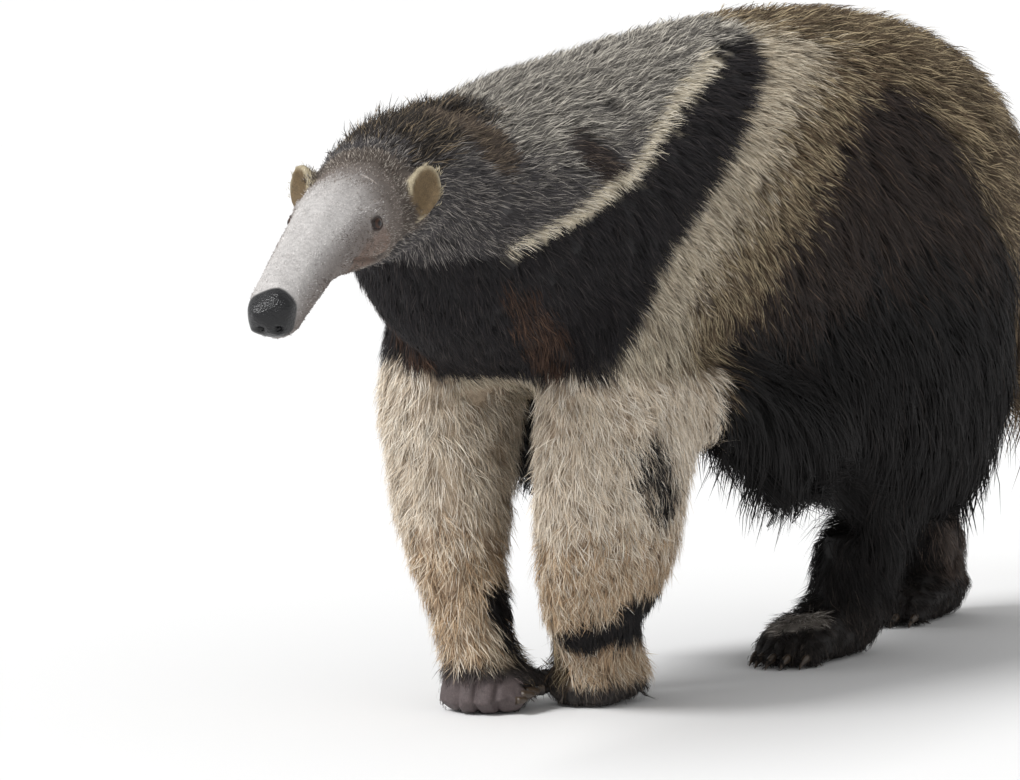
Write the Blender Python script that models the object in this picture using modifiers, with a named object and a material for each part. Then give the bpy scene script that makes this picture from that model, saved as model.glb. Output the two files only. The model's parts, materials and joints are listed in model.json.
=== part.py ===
"""Giant anteater walking, life size, as a still model.

The animal faces -Y, its left side is +X and it stands on Z = 0. The outline is that of the
coat. Spine and limbs are lofts through a few cross sections, fused into one body, which is
then parted into head, neck, trunk, tail and the lengths of each leg by thin cuts.
"""

import math
from typing import NamedTuple

import bmesh
import bpy
import numpy as np
from mathutils import Matrix, Vector

# Everything below is in metres, with Y = 0 between the forefeet, until the model is moved
# so that its origin lies under the middle of its box.
CENTRE_SHIFT = Vector((0.0, -0.484, 0.0))

# Gap between pieces that touch, and how far the cutters stand outside limb and spine
GAP = 0.0003
LIMB_MARGIN = 0.012
SPINE_MARGIN = 0.16
OUTWARD_REACH = 0.03
FOOT_MARGIN = 0.006

# How far a cutter passes the end of what it parts
END_REACH = 0.006
NOSE_AND_TAIL_REACH = 0.05

# Resolution of the fused body
BODY_GRID = (6, 40)
LIMB_CUTTER_GRID = (1, 12)
SLAB_GRID = (0, 12)
CLAW_GRID = (1, 6)
BALL_GRID = (12, 8)
PATH_STEP = 0.05
VOXEL = 0.0055
SMOOTH_ALL = 3
SMOOTH_JOINS = 34
BODY_TRIANGLES = 2400

# Joins between limbs and trunk are smoothed above the feet and behind the head
FEET_TOP = 0.085
HEAD_BACK = -0.290
JOIN_FADE = 0.060

UP = Vector((0.0, 0.0, 1.0))
AHEAD = Vector((0.0, -1.0, 0.0))
SIDES = {"left": 1, "right": -1}
FLOOR_CENTRE = Vector((0.0, 0.5, -0.5))
FLOOR_SIZE = Vector((2.0, 4.0, 1.0))
SHARP_ANGLE = math.radians(50.0)

# Head: the middle of the skull between the ears, its length and how it is held
SKULL_CENTRE = Vector((0.050, -0.340, 0.436))
EARS_TO_NOSE = 0.282
SNOUT_BOW = 0.015
HEAD_YAW = math.radians(19.8)
HEAD_PITCH = math.radians(14.4)

# Eyes, ears and nostrils, by their places forward, aside and up from the middle of the skull
EYE_RADIUS = 0.0072
EYE_PLACE = (0.083, 0.0318, 0.0182)
EAR_PLACE = (-0.013, 0.0505, 0.0215)
EAR_HALF_WIDTH = 0.0165
EAR_HALF_HEIGHT = 0.0265
EAR_HALF_DEPTH = 0.0085
EAR_TURN = math.radians(42.0)
EAR_LEAN = math.radians(14.0)
EAR_TIP = math.radians(6.0)
EAR_HOLLOW_SHARE = 0.78
EAR_HOLLOW_FORWARD = 0.0065
NOSTRIL_RADIUS = 0.0040
NOSTRIL_GRID = (10, 6)
NOSTRIL_PLACE = (0.2835, 0.0072, -0.0030)

# Claws: length and root radius on fore and hind feet, and how they curl and taper
FORE_CLAW_LENGTH = 0.023
FORE_CLAW_RADIUS = 0.0050
FORE_CLAW_SINK = 0.008
FORE_CLAW_SPLAY = 1.2
FORE_CLAWS = ((-0.004, 0.013, 0.65), (0.0080, 0.016, 0.85), (0.0215, 0.017, 0.95), (0.0340, 0.013, 0.45))
HIND_CLAW_LENGTH = 0.024
HIND_CLAW_RADIUS = 0.0036
HIND_CLAW_DROP = 0.7
CLAW_STEPS = 3
CLAW_CURL = math.radians(60.0)
CLAW_TAPER = 0.85
CLAW_DEPTH = 1.25


class Slice(NamedTuple):
    """One cross section: its middle, reach to each side, up, down and how peaked its top is."""

    centre: Vector
    half_width: float
    up: float
    down: float
    crest: float = 2.0


def head_axes():
    """Return the head's forward, left and up directions."""
    forward = Vector((
        math.sin(HEAD_YAW) * math.cos(HEAD_PITCH),
        -math.cos(HEAD_YAW) * math.cos(HEAD_PITCH),
        -math.sin(HEAD_PITCH),
    ))
    left = Vector((math.cos(HEAD_YAW), math.sin(HEAD_YAW), 0.0))
    return forward, left, forward.cross(left)


def in_head(forward_by, left_by, up_by):
    """Return the point so far forward, left and up of the middle of the skull."""
    forward, left, up = head_axes()
    return SKULL_CENTRE + forward * forward_by + left * left_by + up * up_by


def head_slice(forward_by, half_width, up, down):
    """Return a section across the head, so far in front of the ears, raised by its bow."""
    ahead = min(max(forward_by / EARS_TO_NOSE, 0.0), 1.0)
    bow = SNOUT_BOW * math.sin(math.pi * ahead)
    return Slice(in_head(forward_by, 0.0, bow), half_width, up, down)


def trunk_slice(y, top, bottom, half_width, crest=2.0, x=0.0):
    """Return an upright section of trunk or tail from the heights of back and belly."""
    half = (top - bottom) / 2
    return Slice(Vector((x, y, bottom + half)), half_width, half, half, crest)


def leg_slice(x, y, z, half_width, fore, aft):
    """Return a level section of a leg, with its reach forwards and backwards."""
    return Slice(Vector((x, y, z)), half_width, fore, aft)


SPINE = (
    head_slice(EARS_TO_NOSE + 0.001, 0.0090, 0.0080, 0.0080),
    head_slice(EARS_TO_NOSE - 0.006, 0.0185, 0.0175, 0.0170),
    head_slice(EARS_TO_NOSE - 0.024, 0.0225, 0.0215, 0.0215),
    head_slice(0.212, 0.0250, 0.0240, 0.0235),
    head_slice(0.165, 0.0275, 0.0270, 0.0225),
    head_slice(0.122, 0.0318, 0.0340, 0.0265),
    head_slice(0.082, 0.0368, 0.0420, 0.0320),
    head_slice(0.040, 0.0430, 0.0480, 0.0370),
    head_slice(0.000, 0.0485, 0.0525, 0.0400),
    head_slice(-0.045, 0.0570, 0.0590, 0.0450),
    trunk_slice(-0.245, 0.519, 0.414, 0.0700, 1.9, x=0.022),
    trunk_slice(-0.180, 0.541, 0.370, 0.0890, 1.8, x=0.009),
    trunk_slice(-0.100, 0.554, 0.306, 0.1160, 1.7),
    trunk_slice(0.000, 0.573, 0.276, 0.1320, 1.7),
    trunk_slice(0.110, 0.590, 0.256, 0.1400, 1.7),
    trunk_slice(0.250, 0.613, 0.236, 0.1500, 1.8),
    trunk_slice(0.400, 0.628, 0.226, 0.1550, 1.9),
    trunk_slice(0.540, 0.630, 0.230, 0.1530, 1.9),
    trunk_slice(0.660, 0.619, 0.246, 0.1420, 1.9),
    trunk_slice(0.760, 0.598, 0.262, 0.1170, 1.9),
    trunk_slice(0.850, 0.579, 0.222, 0.0940, 1.9),
    trunk_slice(0.950, 0.553, 0.160, 0.0860, 1.9),
    trunk_slice(1.080, 0.510, 0.088, 0.0880, 1.9),
    trunk_slice(1.220, 0.454, 0.048, 0.0900, 1.9),
    trunk_slice(1.350, 0.390, 0.036, 0.0800, 1.9),
    trunk_slice(1.450, 0.322, 0.034, 0.0640, 1.9),
    trunk_slice(1.520, 0.246, 0.046, 0.0420, 1.9),
    trunk_slice(1.550, 0.180, 0.080, 0.0180, 1.9),
)

# Where the spine is parted, counted in sections from the nose
SPINE_PARTS = (
    ("nose", 0.0, 1.7),
    ("snout", 1.7, 5.3),
    ("head", 5.3, 9.2),
    ("neck", 9.2, 11.7),
    ("chest", 11.7, 13.9),
    ("belly", 13.9, 16.4),
    ("rump", 16.4, 19.7),
    ("tail_root", 19.7, 22.0),
    ("tail_middle", 22.0, 23.9),
    ("tail_tip", 23.9, 27.0),
)

FORELEG_RIGHT = (
    leg_slice(-0.066, 0.010, 0.450, 0.036, 0.060, 0.070),
    leg_slice(-0.078, 0.004, 0.380, 0.050, 0.080, 0.090),
    leg_slice(-0.085, -0.004, 0.320, 0.056, 0.084, 0.092),
    leg_slice(-0.085, -0.008, 0.270, 0.058, 0.078, 0.084),
    leg_slice(-0.081, -0.010, 0.222, 0.057, 0.073, 0.079),
    leg_slice(-0.073, -0.018, 0.169, 0.050, 0.065, 0.069),
    leg_slice(-0.061, -0.025, 0.117, 0.040, 0.052, 0.054),
    leg_slice(-0.050, -0.021, 0.078, 0.035, 0.046, 0.046),
    leg_slice(-0.044, -0.016, 0.045, 0.036, 0.045, 0.046),
    leg_slice(-0.041, -0.012, 0.022, 0.035, 0.043, 0.044),
)

FORELEG_LEFT = (
    leg_slice(0.066, 0.020, 0.450, 0.036, 0.060, 0.070),
    leg_slice(0.078, 0.014, 0.380, 0.050, 0.084, 0.094),
    leg_slice(0.085, 0.004, 0.320, 0.057, 0.088, 0.100),
    leg_slice(0.083, 0.000, 0.270, 0.060, 0.090, 0.106),
    leg_slice(0.078, 0.000, 0.225, 0.060, 0.090, 0.108),
    leg_slice(0.071, 0.006, 0.180, 0.058, 0.086, 0.100),
    leg_slice(0.061, 0.019, 0.136, 0.054, 0.084, 0.092),
    leg_slice(0.049, 0.029, 0.105, 0.047, 0.076, 0.080),
    leg_slice(0.036, 0.042, 0.074, 0.039, 0.062, 0.063),
    leg_slice(0.027, 0.062, 0.048, 0.037, 0.058, 0.058),
    leg_slice(0.022, 0.072, 0.024, 0.034, 0.050, 0.052),
)

# Where the forelegs are parted, counted in sections from the shoulder: top, elbow and end
FORELEG_PARTS = {"left": (1.3, 4.5, 10.0), "right": (1.3, 4.4, 9.0)}

# The thighs end in long trouser hair, out of which the shanks come
THIGH_LEFT = (
    leg_slice(0.056, 0.580, 0.540, 0.044, 0.120, 0.110),
    leg_slice(0.086, 0.560, 0.460, 0.060, 0.180, 0.160),
    leg_slice(0.092, 0.540, 0.380, 0.066, 0.215, 0.190),
    leg_slice(0.095, 0.515, 0.300, 0.068, 0.220, 0.215),
    leg_slice(0.092, 0.505, 0.235, 0.065, 0.195, 0.228),
    leg_slice(0.085, 0.510, 0.190, 0.057, 0.140, 0.215),
    leg_slice(0.074, 0.530, 0.150, 0.046, 0.090, 0.180),
    leg_slice(0.068, 0.570, 0.126, 0.028, 0.060, 0.100),
)
SHANK_LEFT = (
    leg_slice(0.075, 0.470, 0.240, 0.045, 0.070, 0.080),
    leg_slice(0.068, 0.478, 0.190, 0.045, 0.062, 0.080),
    leg_slice(0.062, 0.487, 0.150, 0.044, 0.052, 0.078),
    leg_slice(0.055, 0.498, 0.105, 0.041, 0.050, 0.066),
    leg_slice(0.050, 0.497, 0.060, 0.039, 0.052, 0.058),
    leg_slice(0.046, 0.492, 0.030, 0.037, 0.050, 0.050),
)
THIGH_RIGHT = (
    leg_slice(-0.056, 0.590, 0.540, 0.044, 0.120, 0.110),
    leg_slice(-0.086, 0.590, 0.460, 0.060, 0.175, 0.160),
    leg_slice(-0.092, 0.595, 0.380, 0.066, 0.205, 0.185),
    leg_slice(-0.095, 0.605, 0.300, 0.068, 0.210, 0.200),
    leg_slice(-0.092, 0.620, 0.235, 0.065, 0.190, 0.205),
    leg_slice(-0.085, 0.645, 0.190, 0.057, 0.150, 0.190),
    leg_slice(-0.074, 0.680, 0.150, 0.046, 0.100, 0.160),
    leg_slice(-0.068, 0.710, 0.126, 0.028, 0.060, 0.100),
)
SHANK_RIGHT = (
    leg_slice(-0.070, 0.700, 0.240, 0.045, 0.080, 0.080),
    leg_slice(-0.066, 0.745, 0.190, 0.045, 0.070, 0.075),
    leg_slice(-0.058, 0.790, 0.150, 0.045, 0.062, 0.066),
    leg_slice(-0.047, 0.832, 0.105, 0.043, 0.055, 0.056),
    leg_slice(-0.042, 0.842, 0.060, 0.041, 0.052, 0.048),
    leg_slice(-0.040, 0.840, 0.030, 0.038, 0.050, 0.040),
)

# Where thighs and shanks are parted, counted in sections from the hip and from the knee
THIGH_TOP = 0.6
SHANK_TOP = {"left": 2.5, "right": 0.15}

LIMBS = {
    "foreleg_left": FORELEG_LEFT,
    "foreleg_right": FORELEG_RIGHT,
    "thigh_left": THIGH_LEFT,
    "thigh_right": THIGH_RIGHT,
    "shank_left": SHANK_LEFT,
    "shank_right": SHANK_RIGHT,
}

# Long hair along the lower edge of the left flank, which the right side mirrors
FLANK_FRINGE = (
    Slice(Vector((0.108, 0.030, 0.268)), 0.018, 0.040, 0.024),
    Slice(Vector((0.118, 0.130, 0.258)), 0.026, 0.050, 0.036),
    Slice(Vector((0.122, 0.200, 0.240)), 0.028, 0.055, 0.052),
    Slice(Vector((0.121, 0.260, 0.225)), 0.028, 0.055, 0.064),
    Slice(Vector((0.114, 0.320, 0.230)), 0.027, 0.050, 0.060),
    Slice(Vector((0.108, 0.390, 0.245)), 0.022, 0.040, 0.040),
)


class Foot(NamedTuple):
    """A foot from heel to toes: ends on the floor, half width, instep height and digits."""

    heel: Vector
    toes: Vector
    half_width: float
    instep: float
    digits: int
    digit_radius: float


FEET = {
    "fore_left": Foot(Vector((0.026, 0.118, 0.0)), Vector((0.014, 0.044, 0.0)), 0.039, 0.050, 4, 0.0140),
    "fore_right": Foot(Vector((-0.050, 0.026, 0.0)), Vector((-0.030, -0.040, 0.0)), 0.042, 0.052, 4, 0.0150),
    "hind_left": Foot(Vector((0.036, 0.540, 0.0)), Vector((0.036, 0.382, 0.0)), 0.039, 0.062, 5, 0.0120),
    "hind_right": Foot(Vector((-0.042, 0.880, 0.0)), Vector((-0.034, 0.735, 0.0)), 0.042, 0.062, 5, 0.0120),
}

FOOT_NAMES = {"fore": "forefoot", "hind": "hind_foot"}

# Along a foot from heel to toes: place, width and height, as shares of the foot's own
FOOT_PROFILE = (
    (-0.06, 0.45, 0.55),
    (0.06, 0.86, 0.95),
    (0.35, 0.95, 1.0),
    (0.70, 1.0, 0.8),
    (0.95, 0.92, 0.55),
    (1.04, 0.6, 0.35),
)
SOLE_DEPTH = 0.004
DIGIT_STRETCH = 1.7
DIGIT_LIFT = 0.85
TOE_FAN = 0.018
FOOT_END = 0.034
ANKLE_SHARE = 0.82

# Colour and roughness by the start of a node's name
FINISHES = {
    "nose": ((0.012, 0.012, 0.014), 0.30),
    "snout": ((0.330, 0.300, 0.290), 0.80),
    "head": ((0.170, 0.140, 0.120), 0.85),
    "ear": ((0.420, 0.370, 0.280), 0.85),
    "eye": ((0.030, 0.018, 0.012), 0.08),
    "neck": ((0.110, 0.100, 0.095), 0.90),
    "chest": ((0.060, 0.058, 0.060), 0.90),
    "belly": ((0.170, 0.135, 0.095), 0.90),
    "rump": ((0.110, 0.085, 0.065), 0.90),
    "tail": ((0.075, 0.055, 0.042), 0.92),
    "upper_arm": ((0.500, 0.430, 0.320), 0.90),
    "forearm": ((0.540, 0.460, 0.340), 0.90),
    "forefoot": ((0.075, 0.065, 0.062), 0.80),
    "thigh": ((0.016, 0.014, 0.014), 0.92),
    "shank": ((0.014, 0.012, 0.012), 0.92),
    "hind_foot": ((0.020, 0.018, 0.018), 0.85),
}


def clear_scene():
    """Remove every object, so that only the model is left."""
    for thing in list(bpy.data.objects):
        bpy.data.objects.remove(thing, do_unlink=True)


def add_collection(name):
    """Add a collection to the scene and return it."""
    collection = bpy.data.collections.new(name)
    bpy.context.scene.collection.children.link(collection)
    return collection


def between(slices, position):
    """Return the smooth section at a position counted in sections."""
    first = min(int(position), len(slices) - 2)
    rows = []
    for index in range(first - 1, first + 3):
        piece = slices[min(max(index, 0), len(slices) - 1)]
        rows.append(np.array((*piece.centre, *piece[1:])))
    knots = [0.0]
    for before, after in zip(rows, rows[1:]):
        knots.append(knots[-1] + max(float(np.linalg.norm(after[:3] - before[:3])), 1e-6))
    span = knots[2] - knots[1]
    slope_in = (rows[2] - rows[0]) / (knots[2] - knots[0]) * span
    slope_out = (rows[3] - rows[1]) / (knots[3] - knots[1]) * span
    t = position - first
    value = (
        (2 * t**3 - 3 * t**2 + 1) * rows[1]
        + (t**3 - 2 * t**2 + t) * slope_in
        + (3 * t**2 - 2 * t**3) * rows[2]
        + (t**3 - t**2) * slope_out
    )
    return Slice(Vector(value[:3]), *(float(number) for number in value[3:]))


def ring_points(piece, along, reference, margin, sides):
    """Return the points round one section, whose plane is square to a direction."""
    side = along.cross(reference).normalized()
    top = side.cross(along).normalized()
    points = []
    for number in range(sides):
        angle = math.tau * number / sides
        sine = math.sin(angle)
        cosine = math.cos(angle)
        power = 2.0 / (piece.crest if sine > 0 else 2.0)
        across = math.copysign(abs(cosine) ** power, cosine) * (piece.half_width + margin)
        reach = (piece.up if sine > 0 else piece.down) + margin
        points.append(piece.centre + side * across + top * (sine * reach))
    return points


def path_direction(slices, position):
    """Return the way the path through the sections runs at a position."""
    before = between(slices, max(position - PATH_STEP, 0.0)).centre
    after = between(slices, min(position + PATH_STEP, len(slices) - 1)).centre
    return (after - before).normalized()


def loft_mesh(name, slices, reference, span=None, margin=0.0, stretch=(0.0, 0.0), grid=BODY_GRID):
    """Return a closed mesh through the sections, from one position along them to another.

    Sections are level when the reference is AHEAD, and else square to the path. The margin
    widens the mesh all round, and the stretch moves its first and last ring outwards. The grid is the number of rings in each span and of points in each ring. Sides
    are triangles, so that two cutters of one limb bend alike and never cross.
    """
    start, end = span or (0.0, len(slices) - 1)
    steps, sides = grid
    count = max(2, math.ceil((end - start) * steps))
    mesh = bmesh.new()
    rings = []
    for number in range(count + 1):
        position = start + (end - start) * number / count
        path = path_direction(slices, position)
        along = -UP if reference is AHEAD else path
        reach = stretch[1] * (number == count) - stretch[0] * (number == 0)
        shift = path * (reach / path.dot(along))
        points = ring_points(between(slices, position), along, reference, margin, sides)
        rings.append([mesh.verts.new(point + shift) for point in points])
    for ring, following in zip(rings, rings[1:]):
        for number in range(sides):
            after = (number + 1) % sides
            mesh.faces.new((ring[number], ring[after], following[after]))
            mesh.faces.new((ring[number], following[after], following[number]))
    mesh.faces.new(reversed(rings[0]))
    mesh.faces.new(rings[-1])
    bmesh.ops.recalc_face_normals(mesh, faces=mesh.faces)
    data = bpy.data.meshes.new(name)
    mesh.to_mesh(data)
    mesh.free()
    return data


def add_object(name, data, collection):
    """Put a mesh in a collection under a name and return the object."""
    thing = bpy.data.objects.new(name, data)
    collection.objects.link(thing)
    return thing


def add_cutter(name, data, cutters):
    """Put a mesh among the cutters, drawn as wire and never rendered."""
    thing = add_object(name, data, cutters)
    thing.display_type = "WIRE"
    thing.hide_render = True
    return thing


def baked(thing, name):
    """Return a new mesh of the object as its modifiers leave it, in world space."""
    bpy.context.view_layer.update()
    graph = bpy.context.evaluated_depsgraph_get()
    data = bpy.data.meshes.new_from_object(thing.evaluated_get(graph))
    data.name = name
    data.transform(thing.matrix_world)
    return data


def combined(thing, other, operation):
    """Return the mesh of a Boolean between two objects."""
    modifier = thing.modifiers.new("Boolean", "BOOLEAN")
    modifier.object = other
    modifier.operation = operation
    modifier.solver = "EXACT"
    data = baked(thing, thing.name)
    thing.modifiers.remove(modifier)
    return data


def largest_island(data):
    """Drop all but the largest closed body from a mesh, and weld what the cut left double."""
    mesh = bmesh.new()
    mesh.from_mesh(data)
    bmesh.ops.remove_doubles(mesh, verts=mesh.verts, dist=1e-6)
    bmesh.ops.dissolve_degenerate(mesh, edges=mesh.edges, dist=1e-6)
    left = set(mesh.verts)
    islands = []
    while left:
        stack = [left.pop()]
        island = set(stack)
        while stack:
            for edge in stack.pop().link_edges:
                for vert in edge.verts:
                    if vert in left:
                        left.remove(vert)
                        island.add(vert)
                        stack.append(vert)
        islands.append(island)
    islands.sort(key=len)
    for island in islands[:-1]:
        bmesh.ops.delete(mesh, geom=list(island), context="VERTS")
    mesh.to_mesh(data)
    mesh.free()
    return data


def ball_mesh(name, centre, radii, turn=None, grid=BALL_GRID):
    """Return an ellipsoid mesh about a centre."""
    mesh = bmesh.new()
    bmesh.ops.create_uvsphere(mesh, u_segments=grid[0], v_segments=grid[1], radius=1.0)
    placed = Matrix.Translation(centre) @ (turn or Matrix()) @ Matrix.Diagonal((*radii, 1.0))
    mesh.transform(placed)
    data = bpy.data.meshes.new(name)
    mesh.to_mesh(data)
    mesh.free()
    return data


def foot_directions(foot):
    """Return a foot's forward and sideways directions on the floor."""
    forward = (foot.toes - foot.heel).normalized()
    return forward, Vector((-forward.y, forward.x, 0.0))


def toe_points(foot):
    """Return where each digit of a foot starts, fanned across its front."""
    forward, side = foot_directions(foot)
    points = []
    for number in range(foot.digits):
        share = 2.0 * number / (foot.digits - 1) - 1.0
        across = share * (foot.half_width - foot.digit_radius)
        back = TOE_FAN * share * share
        lift = UP * foot.digit_radius * DIGIT_LIFT
        points.append(foot.toes + side * across - forward * back + lift)
    return points


def foot_meshes(foot):
    """Return the closed meshes that make a foot: its sole with the instep, and its digits."""
    forward, _ = foot_directions(foot)
    length = (foot.toes - foot.heel).length
    slices = []
    for along, width, height in FOOT_PROFILE:
        reach = foot.instep / 2 * height
        centre = foot.heel + forward * (length * along) + Vector((0.0, 0.0, reach))
        slices.append(Slice(centre, foot.half_width * width, reach, reach + SOLE_DEPTH))
    meshes = [loft_mesh("foot", slices, UP)]
    turn = forward.to_track_quat("X", "Z").to_matrix().to_4x4()
    for point in toe_points(foot):
        radii = (foot.digit_radius * DIGIT_STRETCH, foot.digit_radius, foot.digit_radius)
        meshes.append(ball_mesh("digit", point, radii, turn))
    return meshes


def box_mesh(name, centre, size, turn=None):
    """Return a box mesh about a centre, turned about it if asked."""
    mesh = bmesh.new()
    bmesh.ops.create_cube(mesh, size=1.0)
    mesh.transform(Matrix.Translation(centre) @ (turn or Matrix()) @ Matrix.Diagonal((*size, 1.0)))
    data = bpy.data.meshes.new(name)
    mesh.to_mesh(data)
    mesh.free()
    return data


def mirrored(slices):
    """Return the sections of a left piece on the right side."""
    return [piece._replace(centre=Vector((-piece.centre.x, *piece.centre.yz))) for piece in slices]


def joined_shapes():
    """Return one mesh holding every overlapping shape that the body is fused from."""
    meshes = [loft_mesh("spine", SPINE, UP)]
    for fringe in (FLANK_FRINGE, mirrored(FLANK_FRINGE)):
        meshes.append(loft_mesh("fringe", fringe, UP))
    for limb in LIMBS.values():
        meshes.append(loft_mesh("limb", limb, AHEAD))
    for foot in FEET.values():
        meshes.extend(foot_meshes(foot))
    mesh = bmesh.new()
    for data in meshes:
        mesh.from_mesh(data)
    joined = bpy.data.meshes.new("body")
    mesh.to_mesh(joined)
    mesh.free()
    return joined


def join_weight(point):
    """Return how far the joins are smoothed at a point: not at all on the head and feet."""
    above_feet = (point.z - FEET_TOP) / JOIN_FADE
    behind_head = (point.y - HEAD_BACK) / JOIN_FADE
    return min(max(min(above_feet, behind_head), 0.0), 1.0)


def apply_modifiers(thing, name):
    """Replace the object's mesh by what its modifiers leave, and remove them."""
    data = baked(thing, name)
    thing.modifiers.clear()
    thing.data = data


def fused_body(cutters):
    """Return the whole body as one closed body on flat soles."""
    body = add_cutter("body", joined_shapes(), cutters)
    remesh = body.modifiers.new("Fuse", "REMESH")
    remesh.mode = "VOXEL"
    remesh.voxel_size = VOXEL
    apply_modifiers(body, "body_fused")
    joins = body.vertex_groups.new(name="joins")
    for vert in body.data.vertices:
        joins.add([vert.index], join_weight(vert.co), "REPLACE")
    for rounds, group in ((SMOOTH_JOINS, "joins"), (SMOOTH_ALL, "")):
        smooth = body.modifiers.new("Soften", "SMOOTH")
        smooth.iterations = rounds
        smooth.vertex_group = group
    apply_modifiers(body, "body_smooth")
    body.vertex_groups.clear()
    triangles = sum(len(face.vertices) - 2 for face in body.data.polygons)
    decimate = body.modifiers.new("Facets", "DECIMATE")
    decimate.ratio = BODY_TRIANGLES / triangles
    apply_modifiers(body, "body_facets")
    floor = add_cutter("floor", box_mesh("floor", FLOOR_CENTRE, FLOOR_SIZE), cutters)
    body.data = largest_island(combined(body, floor, "DIFFERENCE"))
    return body


def carve(body, name, inner, outer, parts, cutters):
    """Part a node from the body: what lies in the inner cutter, the outer leaving the gap."""
    cutter = add_cutter(name + "_cutter", inner, cutters)
    node = add_object(name, largest_island(combined(body, cutter, "INTERSECT")), parts)
    if outer:
        cutter.data = outer
        body.data = largest_island(combined(body, cutter, "DIFFERENCE"))
    return node


def reaching_out(slices):
    """Return a limb's sections widened away from the body, for a cutter that cuts it cleanly."""
    widened = []
    for piece in slices:
        out = Vector((math.copysign(OUTWARD_REACH, piece.centre.x), 0.0, 0.0))
        widened.append(piece._replace(
            centre=piece.centre + out,
            half_width=piece.half_width + OUTWARD_REACH,
        ))
    return widened


def carve_loft(body, name, limb, span, margin, parts, cutters):
    """Part the length of a limb between two of its sections from the body."""
    slices = reaching_out(limb)
    inner = loft_mesh(name, slices, AHEAD, span, margin, (0.0, END_REACH), LIMB_CUTTER_GRID)
    grown_ends = (GAP, END_REACH + GAP)
    outer = loft_mesh(name, slices, AHEAD, span, margin + GAP, grown_ends, LIMB_CUTTER_GRID)
    return carve(body, name, inner, outer, parts, cutters)


def carve_foot(body, name, foot, parts, cutters):
    """Part a foot from the body with a box over its sole."""
    forward, _ = foot_directions(foot)
    turn = forward.to_track_quat("X", "Z").to_matrix().to_4x4()
    middle = (foot.heel + foot.toes) / 2
    length = (foot.toes - foot.heel).length + 2 * FOOT_END
    size = Vector((length, 2 * (foot.half_width + FOOT_MARGIN), 2 * foot.instep * ANKLE_SHARE))
    gaps = Vector((2 * GAP, 2 * GAP, 2 * GAP))
    inner = box_mesh(name, middle, size, turn)
    outer = box_mesh(name, middle, size + gaps, turn)
    return carve(body, name, inner, outer, parts, cutters)


def carve_limbs(body, parts, cutters):
    """Part the feet and the lengths of the four legs from the body."""
    for side in ("left", "right"):
        for place, names in FOOT_NAMES.items():
            carve_foot(body, f"{names}_{side}", FEET[f"{place}_{side}"], parts, cutters)
        top, elbow, wrist = FORELEG_PARTS[side]
        foreleg = LIMBS[f"foreleg_{side}"]
        carve_loft(body, f"forearm_{side}", foreleg, (elbow, wrist), LIMB_MARGIN, parts, cutters)
        carve_loft(body, f"upper_arm_{side}", foreleg, (top, elbow), LIMB_MARGIN, parts, cutters)
        for name, top in (("shank", SHANK_TOP[side]), ("thigh", THIGH_TOP)):
            limb = LIMBS[f"{name}_{side}"]
            span = (top, len(limb) - 1)
            carve_loft(body, f"{name}_{side}", limb, span, LIMB_MARGIN, parts, cutters)


def carve_spine(body, parts, cutters):
    """Part what is left of the body into the lengths of its spine."""
    last = len(SPINE_PARTS) - 1
    for number, (name, start, end) in enumerate(SPINE_PARTS):
        ends = (
            NOSE_AND_TAIL_REACH if number == 0 else -GAP / 2,
            NOSE_AND_TAIL_REACH if number == last else -GAP / 2,
        )
        slab = loft_mesh(name, SPINE, UP, (start, end), SPINE_MARGIN, ends, SLAB_GRID)
        carve(body, name, slab, None, parts, cutters)


def grown(thing, cutters):
    """Return a cutter of the object's shape, thicker by the gap."""
    cutter = add_cutter(thing.name + "_grown", thing.data, cutters)
    displace = cutter.modifiers.new("Gap", "DISPLACE")
    displace.strength = GAP
    displace.mid_level = 0.0
    return cutter


def trim(thing, cutter):
    """Cut the grown shape of what a piece grows from out of the piece."""
    thing.data = largest_island(combined(thing, cutter, "DIFFERENCE"))


def add_eyes(head, parts, cutters):
    """Add the two eyeballs and sink their sockets in the head."""
    forward, aside, up = EYE_PLACE
    for side, sign in SIDES.items():
        centre = in_head(forward, sign * aside, up)
        radii = (EYE_RADIUS,) * 3
        add_object(f"eye_{side}", ball_mesh("eye", centre, radii), parts)
        radii = (EYE_RADIUS + GAP,) * 3
        socket = add_cutter(f"socket_{side}", ball_mesh("socket", centre, radii), cutters)
        head.data = largest_island(combined(head, socket, "DIFFERENCE"))


def add_ears(head, parts, cutters):
    """Add the two cupped ears, which open forwards and outwards."""
    forward, aside, up = EAR_PLACE
    head_cutter = grown(head, cutters)
    for side, sign in SIDES.items():
        turn = Matrix.Rotation(HEAD_YAW + sign * EAR_TURN, 4, "Z")
        turn = turn @ Matrix.Rotation(sign * EAR_LEAN, 4, "Y") @ Matrix.Rotation(-EAR_TIP, 4, "X")
        centre = in_head(forward, sign * aside, up)
        size = Vector((EAR_HALF_WIDTH, EAR_HALF_DEPTH, EAR_HALF_HEIGHT))
        ear = add_object(f"ear_{side}", ball_mesh("ear", centre, size, turn), parts)
        mouth = centre + turn.to_3x3() @ Vector((0.0, -EAR_HOLLOW_FORWARD, 0.0))
        hollow = ball_mesh("ear_hollow", mouth, size * EAR_HOLLOW_SHARE, turn)
        ear.data = largest_island(combined(ear, add_cutter("hollow", hollow, cutters), "DIFFERENCE"))
        trim(ear, head_cutter)


def add_nostrils(nose, cutters):
    """Sink the two nostrils in the tip of the nose."""
    forward, aside, up = NOSTRIL_PLACE
    for side, sign in SIDES.items():
        centre = in_head(forward, sign * aside, up)
        radii = (NOSTRIL_RADIUS,) * 3
        ball = ball_mesh("nostril", centre, radii, None, NOSTRIL_GRID)
        hole = add_cutter(f"nostril_{side}", ball, cutters)
        nose.data = largest_island(combined(nose, hole, "DIFFERENCE"))


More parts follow.
